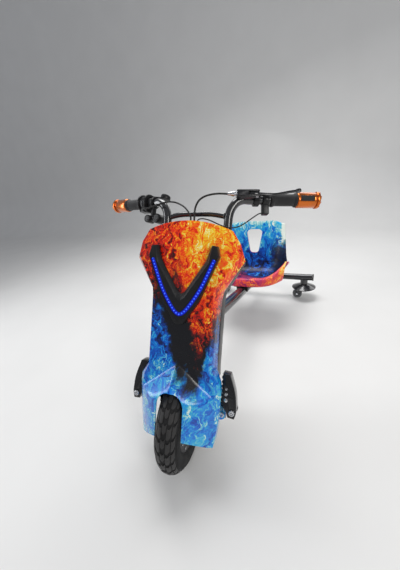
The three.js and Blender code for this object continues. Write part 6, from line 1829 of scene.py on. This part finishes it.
# %% Casters
TRAIL, WHEEL_HEIGHT = 32, 25
DISH_PROFILE = [(53, 0), (53, 39), (54, 41.5), (64.6, 59), (65.6, 60.6), (67, 61), (68.6, 60.4),
                (69.6, 58.4), (76, 44), (83, 27), (84.7, 23), (85, 20), (85, 8.6), (105.5, 8.6),
                (105.5, 0)]
CHEEK = [(-3.5, 52.6), (TRAIL - 11, 20), (TRAIL - 8, 15), (TRAIL, 12.6), (TRAIL + 8, 15),
         (TRAIL + 11, 20), (34, 52.6)]
WHEEL_SIDE = [(10, 4.4), (10, 9), (8, 11), (8, 17.4), (11, 18.4), (11, 22), (10, 24), (7.6, 25)]
CASTER_WHEEL = [(-y, r) for y, r in WHEEL_SIDE] + WHEEL_SIDE[::-1]
AXLE_HEAD = [(15, 0), (15, 6), (17.6, 6), (18.2, 5), (18.2, 0)]
CASTER_WHEEL_GREY = finish("caster_tyre", (0.16, 0.165, 0.17), 0.45, grain=700, depth=0.00004)


def caster_fork(bm, side):
    """Two cheeks under a bridge."""
    for low, high in ((12.2, 15.2), (-15.2, -12.2)):
        plate(bm, [(-side * x, z) for x, z in CHEEK], low, high)
    x_low, x_high = sorted((side * 12, -side * 44))
    box(bm, (x_low, -15.2, 51.2), (x_high, 15.2, 54.2))


def caster_axle(bm, side):
    for end in (1, -1):
        spin(bm, [(end * y, r) for y, r in AXLE_HEAD], 6, "y", (-side * TRAIL, 0, WHEEL_HEIGHT))


for side, word in SIDES:
    caster = VEHICLE @ Matrix.Translation((side * CASTER_SIDE, CASTER_BACK, 0))
    wheel = caster @ Matrix.Translation((-side * TRAIL, 0, WHEEL_HEIGHT))
    body = f"caster_{word}"
    part(f"caster_dish_{word}", turned(DISH_PROFILE, 96, "z"), caster, body, "black_plastic",
         GLOSS_BLACK, [f"caster_swivel_{word}"], sharp=30)
    part(f"caster_fork_{word}", lambda bm: caster_fork(bm, side), caster, body, "black_plastic",
         GLOSS_BLACK, width=0.7)
    part(f"caster_axle_{word}", lambda bm: caster_axle(bm, side), caster, body, "bright_steel",
         STEEL, width=0.3)
    part(f"caster_tyre_{word}", turned(CASTER_WHEEL, 72, "y"), wheel, f"caster_{word}_wheel",
         "caster_tread", CASTER_WHEEL_GREY, [f"caster_wheel_{word}"], sharp=30)
print("rear frame and casters are dressed")

# %% [markdown]
# ## Studio
# A pale floor, a soft world and a few broad lamps. The gloss of the cowl needs something to mirror,
# so one long soft box stands at each side, and the world stays dim enough that black paint reads as
# black.

# %% Floor, world and lamps
def floor_material():
    """Warm white paint that wanders a little in tone."""
    nodes = Nodes("studio_floor")
    grain = nodes.noise(nodes.coordinates(), 3, 2)
    nodes.link(nodes.mix(grain, (0.72, 0.715, 0.7), (0.78, 0.775, 0.76)),
               nodes.shader.inputs["Base Color"])
    nodes.fix({"Roughness": 0.6})
    return nodes.material


def floor_shape(bm):
    """A floor that curves up into a wall far behind."""
    bend_start, bend, half_width = 2600, 900, 9000
    rows = [(-4000, 0), (bend_start, 0)]
    rows += [(bend_start + bend * math.sin(t), bend - bend * math.cos(t))
             for t in (math.pi / 2 * k / 12 for k in range(1, 13))]
    rows.append((bend_start + bend, 9000))
    lines = [[bm.verts.new((x, y, z - 0.2)) for x in (-half_width, half_width)] for y, z in rows]
    for low, high in zip(lines, lines[1:]):
        bm.faces.new([low[0], low[1], high[1], high[0]])


floor = solid("studio_floor", floor_shape)
for face in floor.data.polygons:
    face.use_smooth = True
floor.data.materials.append(floor_material())


def lamp(name, energy, size, place, target, colour=(1, 1, 1)):
    """A soft box that faces a target."""
    light = bpy.data.lights.new(name, "AREA")
    light.energy = energy
    light.shape = "RECTANGLE"
    light.size, light.size_y = size
    light.color = colour
    item = linked(name, light)
    direction = Vector(target) - Vector(place)
    item.rotation_euler = direction.to_track_quat("-Z", "Y").to_euler()
    item.location = place


lamp("soft_box_overhead", 42, (1.6, 1.2), (-0.3, 0.5, 2.4), (0, 0, 0.3))
lamp("soft_box_left", 32, (0.8, 1.6), (2.2, -1.65, 1.7), (0, -0.3, 0.4), (1, 0.98, 0.95))
lamp("soft_box_right", 13, (0.3, 2.0), (-2.0, -0.9, 1.0), (0, -0.3, 0.4), (0.95, 0.97, 1))
lamp("back_fill", 14, (2.2, 1.2), (0.6, 2.4, 1.8), (0, 0.2, 0.3))
world = bpy.data.worlds.new("studio")
world.use_nodes = True
backdrop = world.node_tree.nodes["Background"]
backdrop.inputs["Color"].default_value = (0.9, 0.93, 1, 1)
backdrop.inputs["Strength"].default_value = 0.34
bpy.context.scene.world = world
bpy.context.scene.view_settings.view_transform = "Standard"
print("studio is lit")
